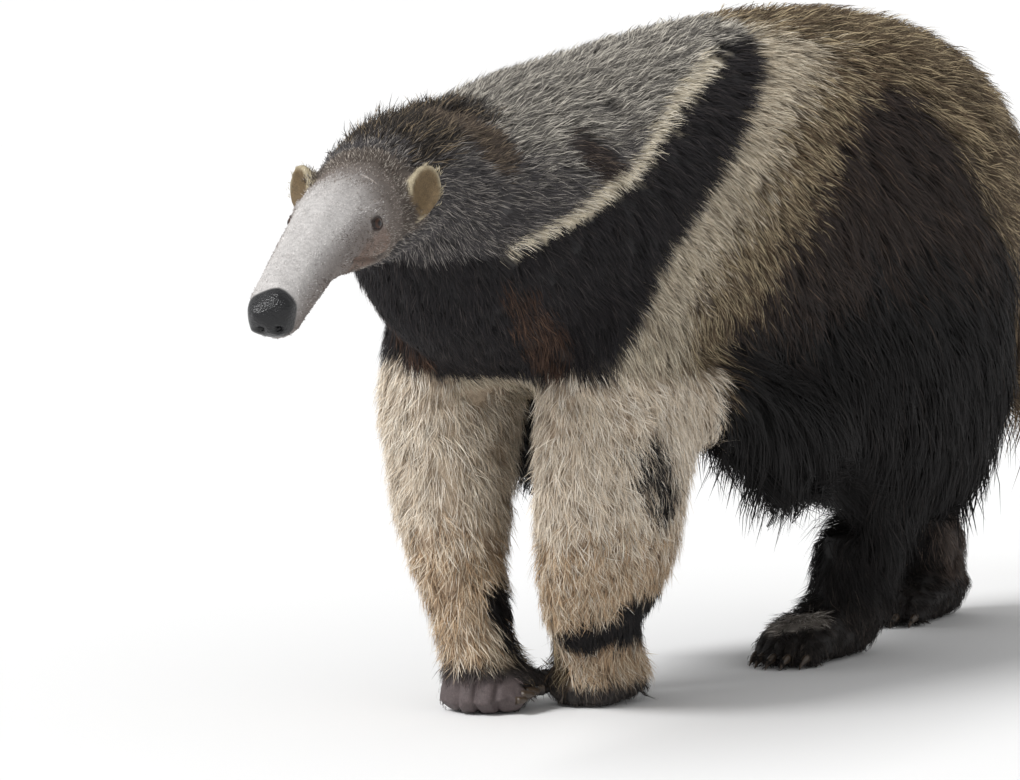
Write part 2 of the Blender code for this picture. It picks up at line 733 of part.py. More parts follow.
def claw_mesh(root, along, bend, length, radius):
    """Return a tapering claw from its root, curving towards the bend direction."""
    slices = []
    for step in range(CLAW_STEPS + 1):
        share = step / CLAW_STEPS
        angle = CLAW_CURL * share
        reach = length / CLAW_CURL
        centre = root + along * (reach * math.sin(angle)) + bend * (reach * (1 - math.cos(angle)))
        size = radius * (1.0 - CLAW_TAPER * share)
        slices.append(Slice(centre, size, size * CLAW_DEPTH, size * CLAW_DEPTH))
    return loft_mesh("claw", slices, along.cross(bend), grid=CLAW_GRID)


def fore_claws(foot, inward):
    """Return the claws of a forefoot, folded in against the inner edge of the palm."""
    forward, side = foot_directions(foot)
    inner = side * inward
    edge = foot.toes + inner * (foot.half_width - FORE_CLAW_SINK)
    along = (inner * FORE_CLAW_SPLAY - forward).normalized()
    claws = []
    for back, height, scale in FORE_CLAWS:
        root = edge - forward * back + UP * height
        length = FORE_CLAW_LENGTH * scale
        claws.append(claw_mesh(root, along, -forward, length, FORE_CLAW_RADIUS * scale))
    return claws


def hind_claws(foot):
    """Return a short claw for each toe of a hind foot, curving down clear of the floor."""
    forward, _ = foot_directions(foot)
    claws = []
    for point in toe_points(foot):
        root = point + forward * foot.digit_radius
        bend = -UP * HIND_CLAW_DROP
        claws.append(claw_mesh(root, forward, bend, HIND_CLAW_LENGTH, HIND_CLAW_RADIUS))
    return claws


def join_claws(node, claws, cutters):
    """Fuse the claws with the foot that they grow from."""
    for data in claws:
        claw = add_cutter(node.name + "_claw", data, cutters)
        node.data = largest_island(combined(node, claw, "UNION"))


def add_claws(parts, cutters):
    """Give all four feet their claws."""
    for side, sign in SIDES.items():
        fore = fore_claws(FEET[f"fore_{side}"], -sign)
        join_claws(parts.objects[f"forefoot_{side}"], fore, cutters)
        hind = hind_claws(FEET[f"hind_{side}"])
        join_claws(parts.objects[f"hind_foot_{side}"], hind, cutters)


def finish(node):
    """Give a node its own material, in the colour and roughness of its kind."""
    kind = next(kind for kind in FINISHES if node.name.startswith(kind))
    colour, roughness = FINISHES[kind]
    material = bpy.data.materials.new(node.name + "_finish")
    material.use_nodes = True
    shader = material.node_tree.nodes["Principled BSDF"]
    shader.inputs["Base Color"].default_value = (*colour, 1.0)
    shader.inputs["Roughness"].default_value = roughness
    shader.inputs["Metallic"].default_value = 0.0
    node.data.materials.clear()
    node.data.materials.append(material)
    node.data.shade_smooth()
    node.data.set_sharp_from_angle(angle=SHARP_ANGLE)


def main():
    """Build the anteater."""
    clear_scene()
    parts = add_collection("giant_anteater")
    cutters = add_collection("cutters")
    body = fused_body(cutters)
    carve_limbs(body, parts, cutters)
    carve_spine(body, parts, cutters)
    add_eyes(parts.objects["head"], parts, cutters)
    add_ears(parts.objects["head"], parts, cutters)
    add_nostrils(parts.objects["nose"], cutters)
    add_claws(parts, cutters)
    for node in parts.objects:
        node.location = CENTRE_SHIFT
        finish(node)


main()
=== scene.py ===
"""Giant anteater, life size: skin, coat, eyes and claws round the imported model, in a studio.

The animal faces -Y, its left side is +X and it stands on Z = 0. All sizes are in metres
unless a name says otherwise.
"""

import json
import logging
import math
from dataclasses import dataclass, field
from enum import Enum

import bpy
import numpy as np
from mathutils import Matrix, Vector
from mathutils.bvhtree import BVHTree

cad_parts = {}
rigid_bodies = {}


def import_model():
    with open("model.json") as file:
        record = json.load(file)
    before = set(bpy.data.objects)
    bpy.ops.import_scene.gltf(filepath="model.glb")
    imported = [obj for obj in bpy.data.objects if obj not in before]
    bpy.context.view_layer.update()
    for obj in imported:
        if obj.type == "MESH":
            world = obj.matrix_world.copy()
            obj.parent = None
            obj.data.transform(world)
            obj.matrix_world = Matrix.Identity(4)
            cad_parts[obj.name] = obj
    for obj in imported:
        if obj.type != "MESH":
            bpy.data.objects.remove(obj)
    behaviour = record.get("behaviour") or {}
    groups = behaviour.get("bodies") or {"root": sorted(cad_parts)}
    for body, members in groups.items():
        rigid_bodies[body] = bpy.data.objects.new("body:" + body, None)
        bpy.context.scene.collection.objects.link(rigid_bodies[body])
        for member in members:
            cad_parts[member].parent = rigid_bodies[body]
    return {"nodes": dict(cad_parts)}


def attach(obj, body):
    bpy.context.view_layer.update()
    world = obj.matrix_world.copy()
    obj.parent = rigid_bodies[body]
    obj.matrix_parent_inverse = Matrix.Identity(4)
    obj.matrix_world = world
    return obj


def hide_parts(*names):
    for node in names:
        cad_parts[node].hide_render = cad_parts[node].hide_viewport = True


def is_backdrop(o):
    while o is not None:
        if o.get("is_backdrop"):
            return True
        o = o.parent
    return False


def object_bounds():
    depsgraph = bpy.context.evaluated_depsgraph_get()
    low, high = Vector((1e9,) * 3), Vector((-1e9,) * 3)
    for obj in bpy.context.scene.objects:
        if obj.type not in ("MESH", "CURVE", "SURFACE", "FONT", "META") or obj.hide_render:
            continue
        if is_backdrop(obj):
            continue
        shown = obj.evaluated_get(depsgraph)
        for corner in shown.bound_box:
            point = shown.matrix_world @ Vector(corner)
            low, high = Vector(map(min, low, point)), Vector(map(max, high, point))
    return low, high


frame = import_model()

Span = tuple[float, float]
Place = tuple[float, float, float]
Colour = tuple[float, float, float]

LOG = logging.getLogger("anteater")
BODY = "root"
COLOUR_LAYER = "coat_colour"
GLOSS_LAYER = "gloss"
BAKE_MAP = "OFBake"
UP = np.array((0.0, 0.0, 1.0))
PER_SQUARE_METRE = 10_000.0


def ramp(values: np.ndarray, low: float, high: float) -> np.ndarray:
    """Return a smooth step from 0 at low to 1 at high, which may run downwards.

    Args:
        values: Numbers to grade.
        low: Value that gives 0.
        high: Value that gives 1.

    Returns:
        Numbers from 0 to 1.
    """
    share = np.clip((values - low) / (high - low), 0.0, 1.0)
    return share * share * (3.0 - 2.0 * share)


def unit(vectors: np.ndarray) -> np.ndarray:
    """Return the vectors at length one."""
    return vectors / np.maximum(np.linalg.norm(vectors, axis=-1, keepdims=True), 1e-12)


def linear(colour: Colour) -> np.ndarray:
    """Return a colour of 0 to 255 as the linear values that a shader works with."""
    share = np.asarray(colour, dtype=float) / 255.0
    return np.where(share <= 0.04045, share / 12.92, ((share + 0.055) / 1.055) ** 2.4)


def near_line(points: np.ndarray, start: tuple, end: tuple, reach: float) -> np.ndarray:
    """Return how near points are to a line: 1 on it, 0 past its reach.

    Args:
        points: Places to grade.
        start: One end of the line.
        end: Its other end.
        reach: Distance at which the grade falls to 0.

    Returns:
        Numbers from 0 to 1.
    """
    first = np.asarray(start)
    along = np.asarray(end) - first
    share = np.clip((points - first) @ along / max(float(along @ along), 1e-12), 0.0, 1.0)
    gap = np.linalg.norm(points - first - share[:, None] * along, axis=1)
    return ramp(gap, reach, 0.55 * reach)


@dataclass(frozen=True)
class HeadFrame:
    """Forward, left and up from the middle of the skull between the ears."""

    centre: Place = (0.050, -0.824, 0.436)
    yaw_deg: float = 19.8
    pitch_deg: float = 14.4

    def axes(self) -> np.ndarray:
        """Return the forward, left and up directions as rows."""
        yaw = math.radians(self.yaw_deg)
        pitch = math.radians(self.pitch_deg)
        forward = np.array((
            math.sin(yaw) * math.cos(pitch),
            -math.cos(yaw) * math.cos(pitch),
            -math.sin(pitch),
        ))
        left = np.array((math.cos(yaw), math.sin(yaw), 0.0))
        return np.array((forward, left, np.cross(forward, left)))

    def local(self, points: np.ndarray) -> np.ndarray:
        """Return points as distances forward, left and up of the skull's middle."""
        return (points - np.asarray(self.centre)) @ self.axes().T

    def world(self, places: np.ndarray) -> np.ndarray:
        """Return places of the head as points of the model."""
        return np.asarray(self.centre) + np.asarray(places) @ self.axes()


HEAD = HeadFrame()


@dataclass(frozen=True)
class EarFrame:
    """A cupped ear: its middle on the head, half sizes and turns."""

    side: str
    sign: int
    place: Place = (-0.013, 0.0505, 0.0215)
    half: Place = (0.0165, 0.0085, 0.0265)
    turn_deg: float = 42.0
    lean_deg: float = 14.0
    tip_deg: float = 6.0

    def axes(self) -> np.ndarray:
        """Return the directions across, behind and along the ear as rows."""
        turn = Matrix.Rotation(math.radians(HEAD.yaw_deg + self.sign * self.turn_deg), 3, "Z")
        turn = turn @ Matrix.Rotation(math.radians(self.sign * self.lean_deg), 3, "Y")
        turn = turn @ Matrix.Rotation(math.radians(-self.tip_deg), 3, "X")
        return np.array(turn).T

    def middle(self) -> np.ndarray:
        """Return the ear's middle as a point of the model."""
        forward, aside, up = self.place
        return HEAD.world((forward, self.sign * aside, up))

    def local(self, points: np.ndarray) -> np.ndarray:
        """Return points as distances across, behind and along the ear from its middle."""
        return (points - self.middle()) @ self.axes().T


EARS = (EarFrame("left", 1), EarFrame("right", -1))


@dataclass(frozen=True)
class Paw:
    """A foot on the floor, from heel to toes."""

    name: str
    heel: Span
    toes: Span
    half_width: float
    digits: int
    digit_radius: float
    inward: int

    def directions(self) -> tuple[Vector, Vector]:
        """Return the foot's forward and sideways directions."""
        forward = Vector((self.toes[0] - self.heel[0], self.toes[1] - self.heel[1], 0.0)).normalized()
        return forward, Vector((-forward.y, forward.x, 0.0))

    def local(self, points: np.ndarray) -> np.ndarray:
        """Return points as distances ahead of the toes' middle, aside of it and above the floor."""
        forward, side = self.directions()
        rel = points - np.array((*self.toes, 0.0))
        return np.stack([rel @ np.array(forward), rel @ np.array(side), points[:, 2]], axis=1)

    def toe_front(self, points: np.ndarray) -> np.ndarray:
        """Return how much points are on the front of the toes, from 0 to 1."""
        ahead, aside, height = self.local(points).T
        wide = ramp(np.abs(aside), self.half_width + 0.012, self.half_width + 0.006)
        return wide * ramp(ahead, -0.022, -0.006) * ramp(ahead, 0.050, 0.045) * ramp(height, 0.046, 0.036)

    def grooves(self, points: np.ndarray) -> np.ndarray:
        """Return how much points are in the grooves between toes, from 0 to 1."""
        aside = self.local(points)[:, 1]
        reach = self.half_width - self.digit_radius
        spacing = 2.0 * reach / (self.digits - 1)
        offset = (aside + reach) / spacing
        gap = np.abs(offset - np.floor(offset) - 0.5) * spacing
        between = np.abs(aside) < reach
        return between * np.exp(-((gap / 0.0024) ** 2)) * self.toe_front(points)


PAWS = (
    Paw("fore_left", (0.026, -0.366), (0.014, -0.440), 0.039, 4, 0.0140, -1),
    Paw("fore_right", (-0.050, -0.458), (-0.030, -0.524), 0.042, 4, 0.0150, 1),
    Paw("hind_left", (0.036, 0.056), (0.036, -0.102), 0.039, 5, 0.0120, 0),
    Paw("hind_right", (-0.042, 0.396), (-0.034, 0.251), 0.042, 5, 0.0120, 0),
)


@dataclass(frozen=True)
class Look:
    """How the coat looks and lies in one zone of the body.

    Colours are from 0 to 255. Fall is the turn of the hair from straight back, 0, to straight
    down, 90 degrees. Density counts strands in a square centimetre.
    """

    root: Colour
    tip: Colour
    fleck: Colour
    flecked: float
    length: float
    depth: float
    lift_deg: float
    fall_deg: float
    width: float
    density: float
    clump: float
    stray_deg: float

    def row(self) -> np.ndarray:
        """Return the look as one row of numbers, with linear colours."""
        rest = (self.flecked, self.length, self.depth, self.lift_deg, self.fall_deg)
        last = (self.width, self.density, self.clump, self.stray_deg)
        colours = [linear(colour) for colour in (self.root, self.tip, self.fleck)]
        return np.concatenate([*colours, rest, last])


class Column(Enum):
    """Where each number of a look stands in its row."""

    ROOT = slice(0, 3)
    TIP = slice(3, 6)
    FLECK = slice(6, 9)
    FLECKED = 9
    LENGTH = 10
    DEPTH = 11
    LIFT = 12
    FALL = 13
    WIDTH = 14
    DENSITY = 15
    CLUMP = 16
    STRAY = 17


LOOKS = {
    "neck": Look((42, 40, 40), (74, 71, 72), (150, 144, 138), 0.26,
                 0.017, 0.008, 15, 16, 0.0006, 44, 0.15, 9),
    "back": Look((52, 49, 46), (106, 102, 97), (196, 190, 178), 0.42,
                 0.022, 0.010, 20, 12, 0.0007, 38, 0.18, 11),
    "mane": Look((32, 28, 26), (46, 41, 37), (128, 113, 92), 0.22,
                 0.023, 0.010, 33, 8, 0.0007, 38, 0.20, 12),
    "tan_patch": Look((44, 38, 34), (78, 67, 58), (124, 110, 93), 0.28,
                      0.017, 0.008, 16, 16, 0.0006, 44, 0.15, 10),
    "dark_patch": Look((34, 29, 28), (52, 44, 42), (112, 98, 86), 0.14,
                       0.017, 0.008, 15, 40, 0.0006, 44, 0.15, 9),
    "stripe": Look((176, 164, 142), (206, 196, 174), (228, 220, 204), 0.50,
                   0.012, 0.008, 14, 46, 0.0006, 48, 0.15, 8),
    "band": Look((18, 17, 18), (34, 31, 33), (62, 56, 55), 0.12,
                 0.022, 0.009, 15, 52, 0.0006, 38, 0.22, 8),
    "throat_brown": Look((36, 27, 22), (66, 47, 37), (92, 70, 56), 0.20,
                         0.020, 0.009, 15, 58, 0.0007, 36, 0.25, 10),
    "shoulder_cream": Look((98, 87, 74), (178, 165, 144), (216, 205, 184), 0.50,
                           0.019, 0.009, 15, 46, 0.0006, 42, 0.14, 8),
    "shoulder_tan": Look((46, 38, 31), (96, 79, 60), (184, 168, 136), 0.36,
                         0.022, 0.010, 15, 48, 0.0006, 40, 0.16, 8),
    "flank": Look((24, 20, 19), (46, 37, 33), (76, 62, 52), 0.10,
                  0.040, 0.012, 15, 48, 0.0009, 17, 0.34, 8),
    "belly": Look((13, 12, 12), (25, 23, 23), (36, 33, 32), 0.05,
                  0.080, 0.016, 16, 82, 0.0011, 13, 0.45, 10),
    "rump": Look((42, 35, 28), (90, 75, 57), (172, 155, 124), 0.32,
                 0.042, 0.013, 18, 28, 0.0009, 18, 0.30, 10),
    "foreleg": Look((150, 130, 108), (214, 200, 180), (238, 230, 216), 0.42,
                    0.024, 0.008, 18, 88, 0.0006, 34, 0.34, 17),
    "foreleg_tan": Look((116, 92, 70), (180, 154, 124), (222, 206, 182), 0.34,
                        0.022, 0.007, 18, 88, 0.0006, 34, 0.34, 17),
    "wrist": Look((12, 11, 12), (24, 21, 22), (44, 38, 36), 0.05,
                  0.018, 0.006, 15, 80, 0.0008, 32, 0.35, 10),
    "forefoot": Look((28, 25, 24), (58, 53, 51), (104, 96, 90), 0.15,
                     0.009, 0.003, 14, 60, 0.0006, 34, 0.20, 10),
    "thigh": Look((14, 12, 12), (26, 24, 24), (42, 37, 35), 0.06,
                  0.060, 0.014, 13, 74, 0.0011, 13, 0.42, 9),
    "shank": Look((13, 11, 11), (25, 22, 22), (46, 40, 37), 0.06,
                  0.028, 0.008, 16, 86, 0.0008, 26, 0.40, 12),
    # Painted light: the brownish heel look stands for the lit inner side of the right hind leg.
    "heel": Look((44, 37, 33), (84, 71, 64), (118, 104, 94), 0.18,
                 0.012, 0.004, 15, 80, 0.0007, 30, 0.30, 12),
    "hind_foot": Look((20, 17, 16), (38, 33, 31), (76, 68, 62), 0.12,
                      0.012, 0.003, 14, 52, 0.0007, 30, 0.25, 11),
    "grey_hair": Look((80, 75, 70), (146, 139, 131), (190, 183, 175), 0.45,
                      0.015, 0.003, 18, 30, 0.0007, 34, 0.25, 22),
    "toe_skin": Look((70, 61, 61), (96, 85, 84), (110, 98, 96), 0.0,
                     0.004, 0.0008, 10, 60, 0.0006, 0, 0.0, 8),
    "tail": Look((34, 28, 23), (78, 64, 49), (138, 120, 95), 0.20,
                 0.160, 0.058, 14, 42, 0.0017, 7, 0.50, 9),
    "tail_end": Look((34, 28, 23), (78, 64, 49), (138, 120, 95), 0.20,
                     0.150, 0.058, 10, 46, 0.0018, 15, 0.50, 6),
    "crown": Look((62, 53, 47), (94, 85, 78), (170, 162, 152), 0.28,
                  0.0075, 0.0030, 11, 8, 0.0005, 52, 0.08, 11),
    "face": Look((84, 75, 69), (108, 98, 91), (176, 168, 160), 0.28,
                 0.0042, 0.0016, 9, 10, 0.0004, 58, 0.08, 11),
    "snout": Look((166, 161, 158), (190, 187, 185), (222, 218, 216), 0.28,
                  0.0026, 0.0010, 8, 8, 0.0004, 44, 0.05, 10),
    # Painted shade: the darker grey-brown of the snout's lower sides stands in for shade under the snout.
    "muzzle_low_shade": Look((74, 65, 60), (92, 81, 75), (138, 128, 120), 0.22,
                       0.0026, 0.0010, 8, 8, 0.0004, 44, 0.05, 10),
    "nose": Look((9, 9, 11), (13, 13, 16), (22, 22, 26), 0.0,
                 0.002, 0.0008, 5, 8, 0.0004, 0, 0.0, 5),
    "ear": Look((150, 138, 112), (186, 175, 150), (212, 204, 184), 0.30,
                0.004, 0.0005, 16, 10, 0.0004, 40, 0.10, 16),
    "ear_back": Look((96, 86, 74), (132, 122, 108), (178, 168, 152), 0.30,
                     0.005, 0.0005, 14, 10, 0.0004, 40, 0.10, 14),
    "ear_cup": Look((96, 79, 55), (112, 94, 66), (150, 132, 100), 0.0,
                    0.003, 0.0004, 10, 10, 0.0004, 0, 0.10, 14),
}


class Region(Enum):
    """The lengths of the animal that the coat is made in."""

    HEAD = "head"
    EAR = "ear"
    NECK = "neck"
    CHEST = "chest"
    BELLY = "belly"
    RUMP = "rump"
    TAIL = "tail"
    FORELEG = "foreleg"
    THIGH = "thigh"
    HIND_LEG = "hind_leg"


@dataclass(frozen=True)
class Patch:
    """A rounded patch of the coat or skin: the line it lies along, and how far it reaches."""

    start: Place
    end: Place
    reach: float

    def share(self, points: np.ndarray) -> np.ndarray:
        """Return how much points are in the patch, from 0 to 1."""
        return near_line(points, self.start, self.end, self.reach)


# Those on the trunk lie on both sides, those of the legs on one, and the cheek is in the
# head's own distances.
PATCHES = {
    "neck_tan": Patch((0.036, -0.672, 0.515), (0.076, -0.658, 0.496), 0.034),
    "shoulder_dark": Patch((0.100, -0.548, 0.500), (0.116, -0.528, 0.474), 0.026),
    "throat": Patch((0.086, -0.640, 0.362), (0.066, -0.560, 0.316), 0.026),
    "chin": Patch((0.030, -0.715, 0.376), (0.060, -0.668, 0.340), 0.026),
    "instep_left": Patch((0.026, -0.086, 0.042), (0.050, -0.064, 0.046), 0.023),
    "wrist_left_front": Patch((0.052, -0.488, 0.060), (0.084, -0.448, 0.073), 0.027),
    "wrist_left_side": Patch((0.084, -0.446, 0.075), (0.056, -0.395, 0.084), 0.036),
    "wrist_right_front": Patch((-0.019, -0.515, 0.098), (-0.005, -0.480, 0.040), 0.015),
    "wrist_right_side": Patch((-0.019, -0.505, 0.090), (-0.060, -0.455, 0.086), 0.022),
    "knee_left": Patch((0.060, -0.030, 0.128), (0.060, 0.085, 0.128), 0.062),
    "knee_right": Patch((-0.090, 0.150, 0.232), (-0.090, 0.300, 0.232), 0.062),
    "cheek": Patch((0.110, 0.026, -0.004), (0.070, 0.036, 0.000), 0.020),
}


REGION_NODES = {
    Region.HEAD: ("nose", "snout", "head"),
    Region.EAR: ("ear_left", "ear_right"),
    Region.NECK: ("neck",),
    Region.CHEST: ("chest",),
    Region.BELLY: ("belly",),
    Region.RUMP: ("rump",),
    Region.TAIL: ("tail_root", "tail_middle", "tail_tip"),
    Region.FORELEG: tuple(
        f"{name}_{side}" for name in ("upper_arm", "forearm", "forefoot") for side in ("left", "right")
    ),
    Region.THIGH: ("thigh_left", "thigh_right"),
    Region.HIND_LEG: ("shank_left", "shank_right", "hind_foot_left", "hind_foot_right"),
}
FLESH = tuple(name for names in REGION_NODES.values() for name in names)
REGIONS = tuple(REGION_NODES)


def along_curve(values: np.ndarray, curve: tuple[Span, ...]) -> np.ndarray:
    """Return the height of a curve, given by its points, at each value."""
    knots = np.array(curve)
    return np.interp(values, knots[:, 0], knots[:, 1])


@dataclass(frozen=True)
class Markings:
    """Where on the body each look of the coat lies.

    The curves are outlines seen from the side, as pairs of a place along the body and a
    height, and they hold for both sides.
    """

    back_line: tuple = (
        (-1.10, 0.36), (-0.90, 0.46), (-0.729, 0.519), (-0.664, 0.541), (-0.584, 0.554),
        (-0.484, 0.573), (-0.374, 0.590), (-0.234, 0.613), (-0.084, 0.628), (0.056, 0.630),
        (0.176, 0.619), (0.276, 0.598), (0.366, 0.579), (0.466, 0.553), (0.596, 0.510),
        (0.736, 0.454), (0.866, 0.390), (0.966, 0.322), (1.036, 0.246), (1.066, 0.180),
    )
    stripe_line: tuple = (
        (-0.95, 0.400), (-0.70, 0.402), (-0.650, 0.409), (-0.613, 0.425), (-0.564, 0.445),
        (-0.505, 0.470), (-0.447, 0.503), (-0.387, 0.533), (-0.325, 0.556), (-0.286, 0.571),
        (-0.246, 0.586), (-0.200, 0.592),
    )
    rear_line: tuple = (
        (0.240, -0.575), (0.306, -0.541), (0.347, -0.508), (0.406, -0.458), (0.457, -0.393),
        (0.526, -0.290), (0.577, -0.209), (0.600, -0.180),
    )
    dark_line: tuple = (
        (0.200, -0.430), (0.247, -0.391), (0.289, -0.352), (0.340, -0.307), (0.393, -0.272),
        (0.445, -0.217), (0.508, -0.146), (0.555, -0.030), (0.620, 0.140),
    )
    rump_line: tuple = (
        (-0.30, 0.640), (-0.16, 0.600), (-0.05, 0.572), (0.03, 0.515), (0.10, 0.450),
        (0.20, 0.350), (0.34, 0.240), (0.50, 0.150),
    )
    mixing: float = 0.2
    stripe_half_width: float = 0.0050
    stripe_slope: float = 0.55
    stripe_start: Span = (-0.665, -0.635)
    stripe_end: Span = (-0.255, -0.285)
    stripe_edge: Span = (0.005, -0.005)
    back_depth: Span = (-0.110, -0.030)
    back_start: Span = (-0.70, -0.58)
    mane_depth: Span = (-0.045, -0.018)
    mane_start: Span = (-0.80, -0.74)
    mane_end: Span = (-0.575, -0.64)
    rear_edge: Span = (-0.006, 0.006)
    tan_share: Span = (0.10, 0.80)
    flank_share: Span = (0.72, 1.28)
    belly_share: Span = (0.85, 1.20)
    belly_height: Span = (0.360, 0.270)
    rump_edge: Span = (-0.030, 0.030)
    band_end: Span = (-0.170, -0.215)
    thigh_height: Span = (0.430, 0.300)
    knee_height: Span = (0.120, 0.165)
    hind_foot_height: Span = (0.070, 0.035)
    tail_start: Span = (0.270, 0.400)
    tail_end: Span = (0.680, 0.840)
    chest_floor: float = 0.296
    chest_rise: float = 0.012
    chest_dip: float = 0.006
    # Painted shade: a dark patch at the back of each elbow, in the black look of the wrist bands.
    elbow_shade: tuple = ((0.130, -0.500, 0.218), (0.126, -0.462, 0.186))
    elbow_shade_reach: Span = (0.036, 0.008)
    forefoot_tops: Span = (0.020, 0.040)
    jaw_start: float = 0.038
    throat_height: float = -0.0150
    mouth_height: float = -0.0116
    brow_rise: float = 0.015
    snout_length: float = 0.282
    nose_edge: Span = (0.2655, 0.2690)

    def looks(
        self, points: np.ndarray, regions: np.ndarray, chance: np.ndarray | None = None
    ) -> np.ndarray:
        """Return the look of the coat at each point as a row of numbers.

        Args:
            points: Places on the coat.
            regions: Number of each point's region.
            chance: A number from 0 to 1 for each point that picks one look where several
                mix, or nothing to blend them.

        Returns:
            One row for each point, in the order of Column.
        """
        rows = np.tile(LOOKS["neck"].row(), (len(points), 1))
        for name, mask in self.layers(points, regions):
            if chance is not None:
                mask = np.clip((mask - chance) / self.mixing + 0.5, 0.0, 1.0)
            rows += mask[:, None] * (LOOKS[name].row() - rows)
        return rows

    def layers(self, points: np.ndarray, regions: np.ndarray) -> list[tuple[str, np.ndarray]]:
        """Return each look with how much of it shows at each point, from the bottom up."""
        sided = points.copy()
        sided[:, 0] = np.abs(points[:, 0])
        inside = {region: regions == number for number, region in enumerate(REGIONS)}
        layers = self.trunk_layers(points, sided)
        layers += self.rear_layers(points, inside)
        layers += self.foreleg_layers(points, sided, inside[Region.FORELEG])
        layers += self.head_layers(points, inside)
        return layers

    def trunk_layers(self, points: np.ndarray, sided: np.ndarray) -> list[tuple[str, np.ndarray]]:
        """Return the layers of neck, shoulder and flank."""
        y, z = points[:, 1], points[:, 2]
        top = along_curve(y, self.back_line)
        stripe = along_curve(y, self.stripe_line)
        rear = along_curve(z, self.rear_line)
        dark = along_curve(z, self.dark_line)
        backward = (y - rear) / (dark - rear)
        behind = ramp(y - rear, *self.rear_edge)
        below = ramp(z - stripe, *self.stripe_edge)
        crest = ramp(y, *self.mane_start) * ramp(y, *self.mane_end)
        stripe_gap = np.abs(z - stripe) / math.hypot(1.0, self.stripe_slope)
        stripe_ends = ramp(y, *self.stripe_start) * ramp(y, *self.stripe_end)
        return [
            ("back", ramp(z - top, *self.back_depth) * ramp(y, *self.back_start)),
            ("mane", ramp(z - top, *self.mane_depth) * crest),
            ("tan_patch", PATCHES["neck_tan"].share(sided)),
            ("dark_patch", PATCHES["shoulder_dark"].share(sided)),
            ("shoulder_cream", behind),
            ("shoulder_tan", behind * ramp(backward, *self.tan_share)),
            ("flank", behind * ramp(backward, *self.flank_share)),
            ("rump", behind * ramp(z - along_curve(y, self.rump_line), *self.rump_edge)),
            ("belly", behind * ramp(backward, *self.belly_share) * ramp(z, *self.belly_height)),
            ("band", below * (1.0 - behind) * ramp(y, *self.band_end)),
            ("throat_brown", 0.65 * PATCHES["throat"].share(sided)),
            ("throat_brown", 0.45 * PATCHES["chin"].share(sided)),
            ("stripe", stripe_ends * ramp(stripe_gap / self.stripe_half_width, 1.5, 0.7)),
        ]

    def rear_layers(self, points: np.ndarray, inside: dict) -> list[tuple[str, np.ndarray]]:
        """Return the layers of thighs, hind legs and tail."""
        x, y, z = points.T
        hind = inside[Region.HIND_LEG]
        # Painted light: brownish hair on the right hind leg's inner heel, where light falls, on that one leg
        # only.
        heel = hind * (x < 0) * ramp(y, 0.300, 0.345) * ramp(z, 0.030, 0.050) * ramp(z, 0.190, 0.130)
        return [
            ("thigh", inside[Region.THIGH] * ramp(z, *self.thigh_height)),
            ("shank", hind * 1.0),
            ("thigh", hind * ramp(z, *self.knee_height)),
            ("hind_foot", hind * ramp(z, *self.hind_foot_height)),
            ("heel", 0.9 * heel),
            ("grey_hair", hind * PATCHES["instep_left"].share(points)),
            ("tail", ramp(y, *self.tail_start) * ~hind),
            ("tail_end", ramp(y, *self.tail_end) * ~hind),
        ]

    def foreleg_layers(
        self, points: np.ndarray, sided: np.ndarray, foreleg: np.ndarray
    ) -> list[tuple[str, np.ndarray]]:
        """Return the layers of the forelegs, with painted shade at the backs of their elbows and their wrist
        bands.
        """
        x, z = points[:, 0], points[:, 2]
        floor = self.chest_floor + self.chest_rise * ramp(-x, 0.040, 0.110)
        floor -= self.chest_dip * ramp(np.abs(x), 0.060, 0.0)
        leg = foreleg * ramp(z - floor, 0.006, -0.010)
        leg = leg * ramp(np.abs(x), 0.012, 0.026)
        # Painted shade: the back of each elbow takes the wrist bands' black look.
        elbow_shade = ramp(line_gap(sided, self.elbow_shade), *self.elbow_shade_reach)
        bands = [patch.share(points) for name, patch in PATCHES.items() if name.startswith("wrist")]
        foot_top = np.where(x > 0, *self.forefoot_tops)
        return [
            ("foreleg", leg),
            ("foreleg_tan", leg * ramp(z, 0.200, 0.110) * 0.8),
            ("wrist", leg * elbow_shade * 0.70),
            ("wrist", foreleg * np.max(bands, axis=0)),
            ("forefoot", foreleg * ramp(z - foot_top, 0.007, -0.007)),
            ("toe_skin", foreleg * PAWS[1].toe_front(points) * ramp(z, 0.036, 0.026)),
        ]

    def head_layers(self, points: np.ndarray, inside: dict) -> list[tuple[str, np.ndarray]]:
        """Return the layers of crown, face, snout, nose and ears."""
        forward, left, up = HEAD.local(points).T
        head = inside[Region.HEAD]
        above = ramp(up, -0.016, 0.000)
        jaw = self.jaw_start + 1.5 * np.maximum(0.0, self.throat_height - up)
        jaw -= 0.9 * np.clip(up - self.mouth_height, 0.0, 0.050)
        lift = up - self.brow_rise * np.sin(math.pi * np.clip(forward / self.snout_length, 0.0, 1.0))
        ear = inside[Region.EAR] * 1.0
        front, cup = self.ear_masks(points)
        # Painted shade: the lower sides of the snout are darkened, away from the light above.
        low = ramp(forward, 0.060, 0.110) * ramp(np.abs(left) - 0.8 * lift, -0.004, 0.028)
        return [
            ("crown", head * ramp(forward, -0.050, -0.020) * above),
            ("crown", head * ramp(forward - jaw, -0.014, 0.002)),
            ("face", head * ramp(forward - jaw, -0.006, 0.022)),
            ("snout", head * ramp(forward + up, 0.050, 0.170)),
            ("muzzle_low_shade", 0.85 * head * low),
            ("nose", head * ramp(forward + 0.2 * up, *self.nose_edge)),
            ("ear_back", ear),
            ("ear", ear * front),
            ("ear_cup", ear * front * cup),
        ]

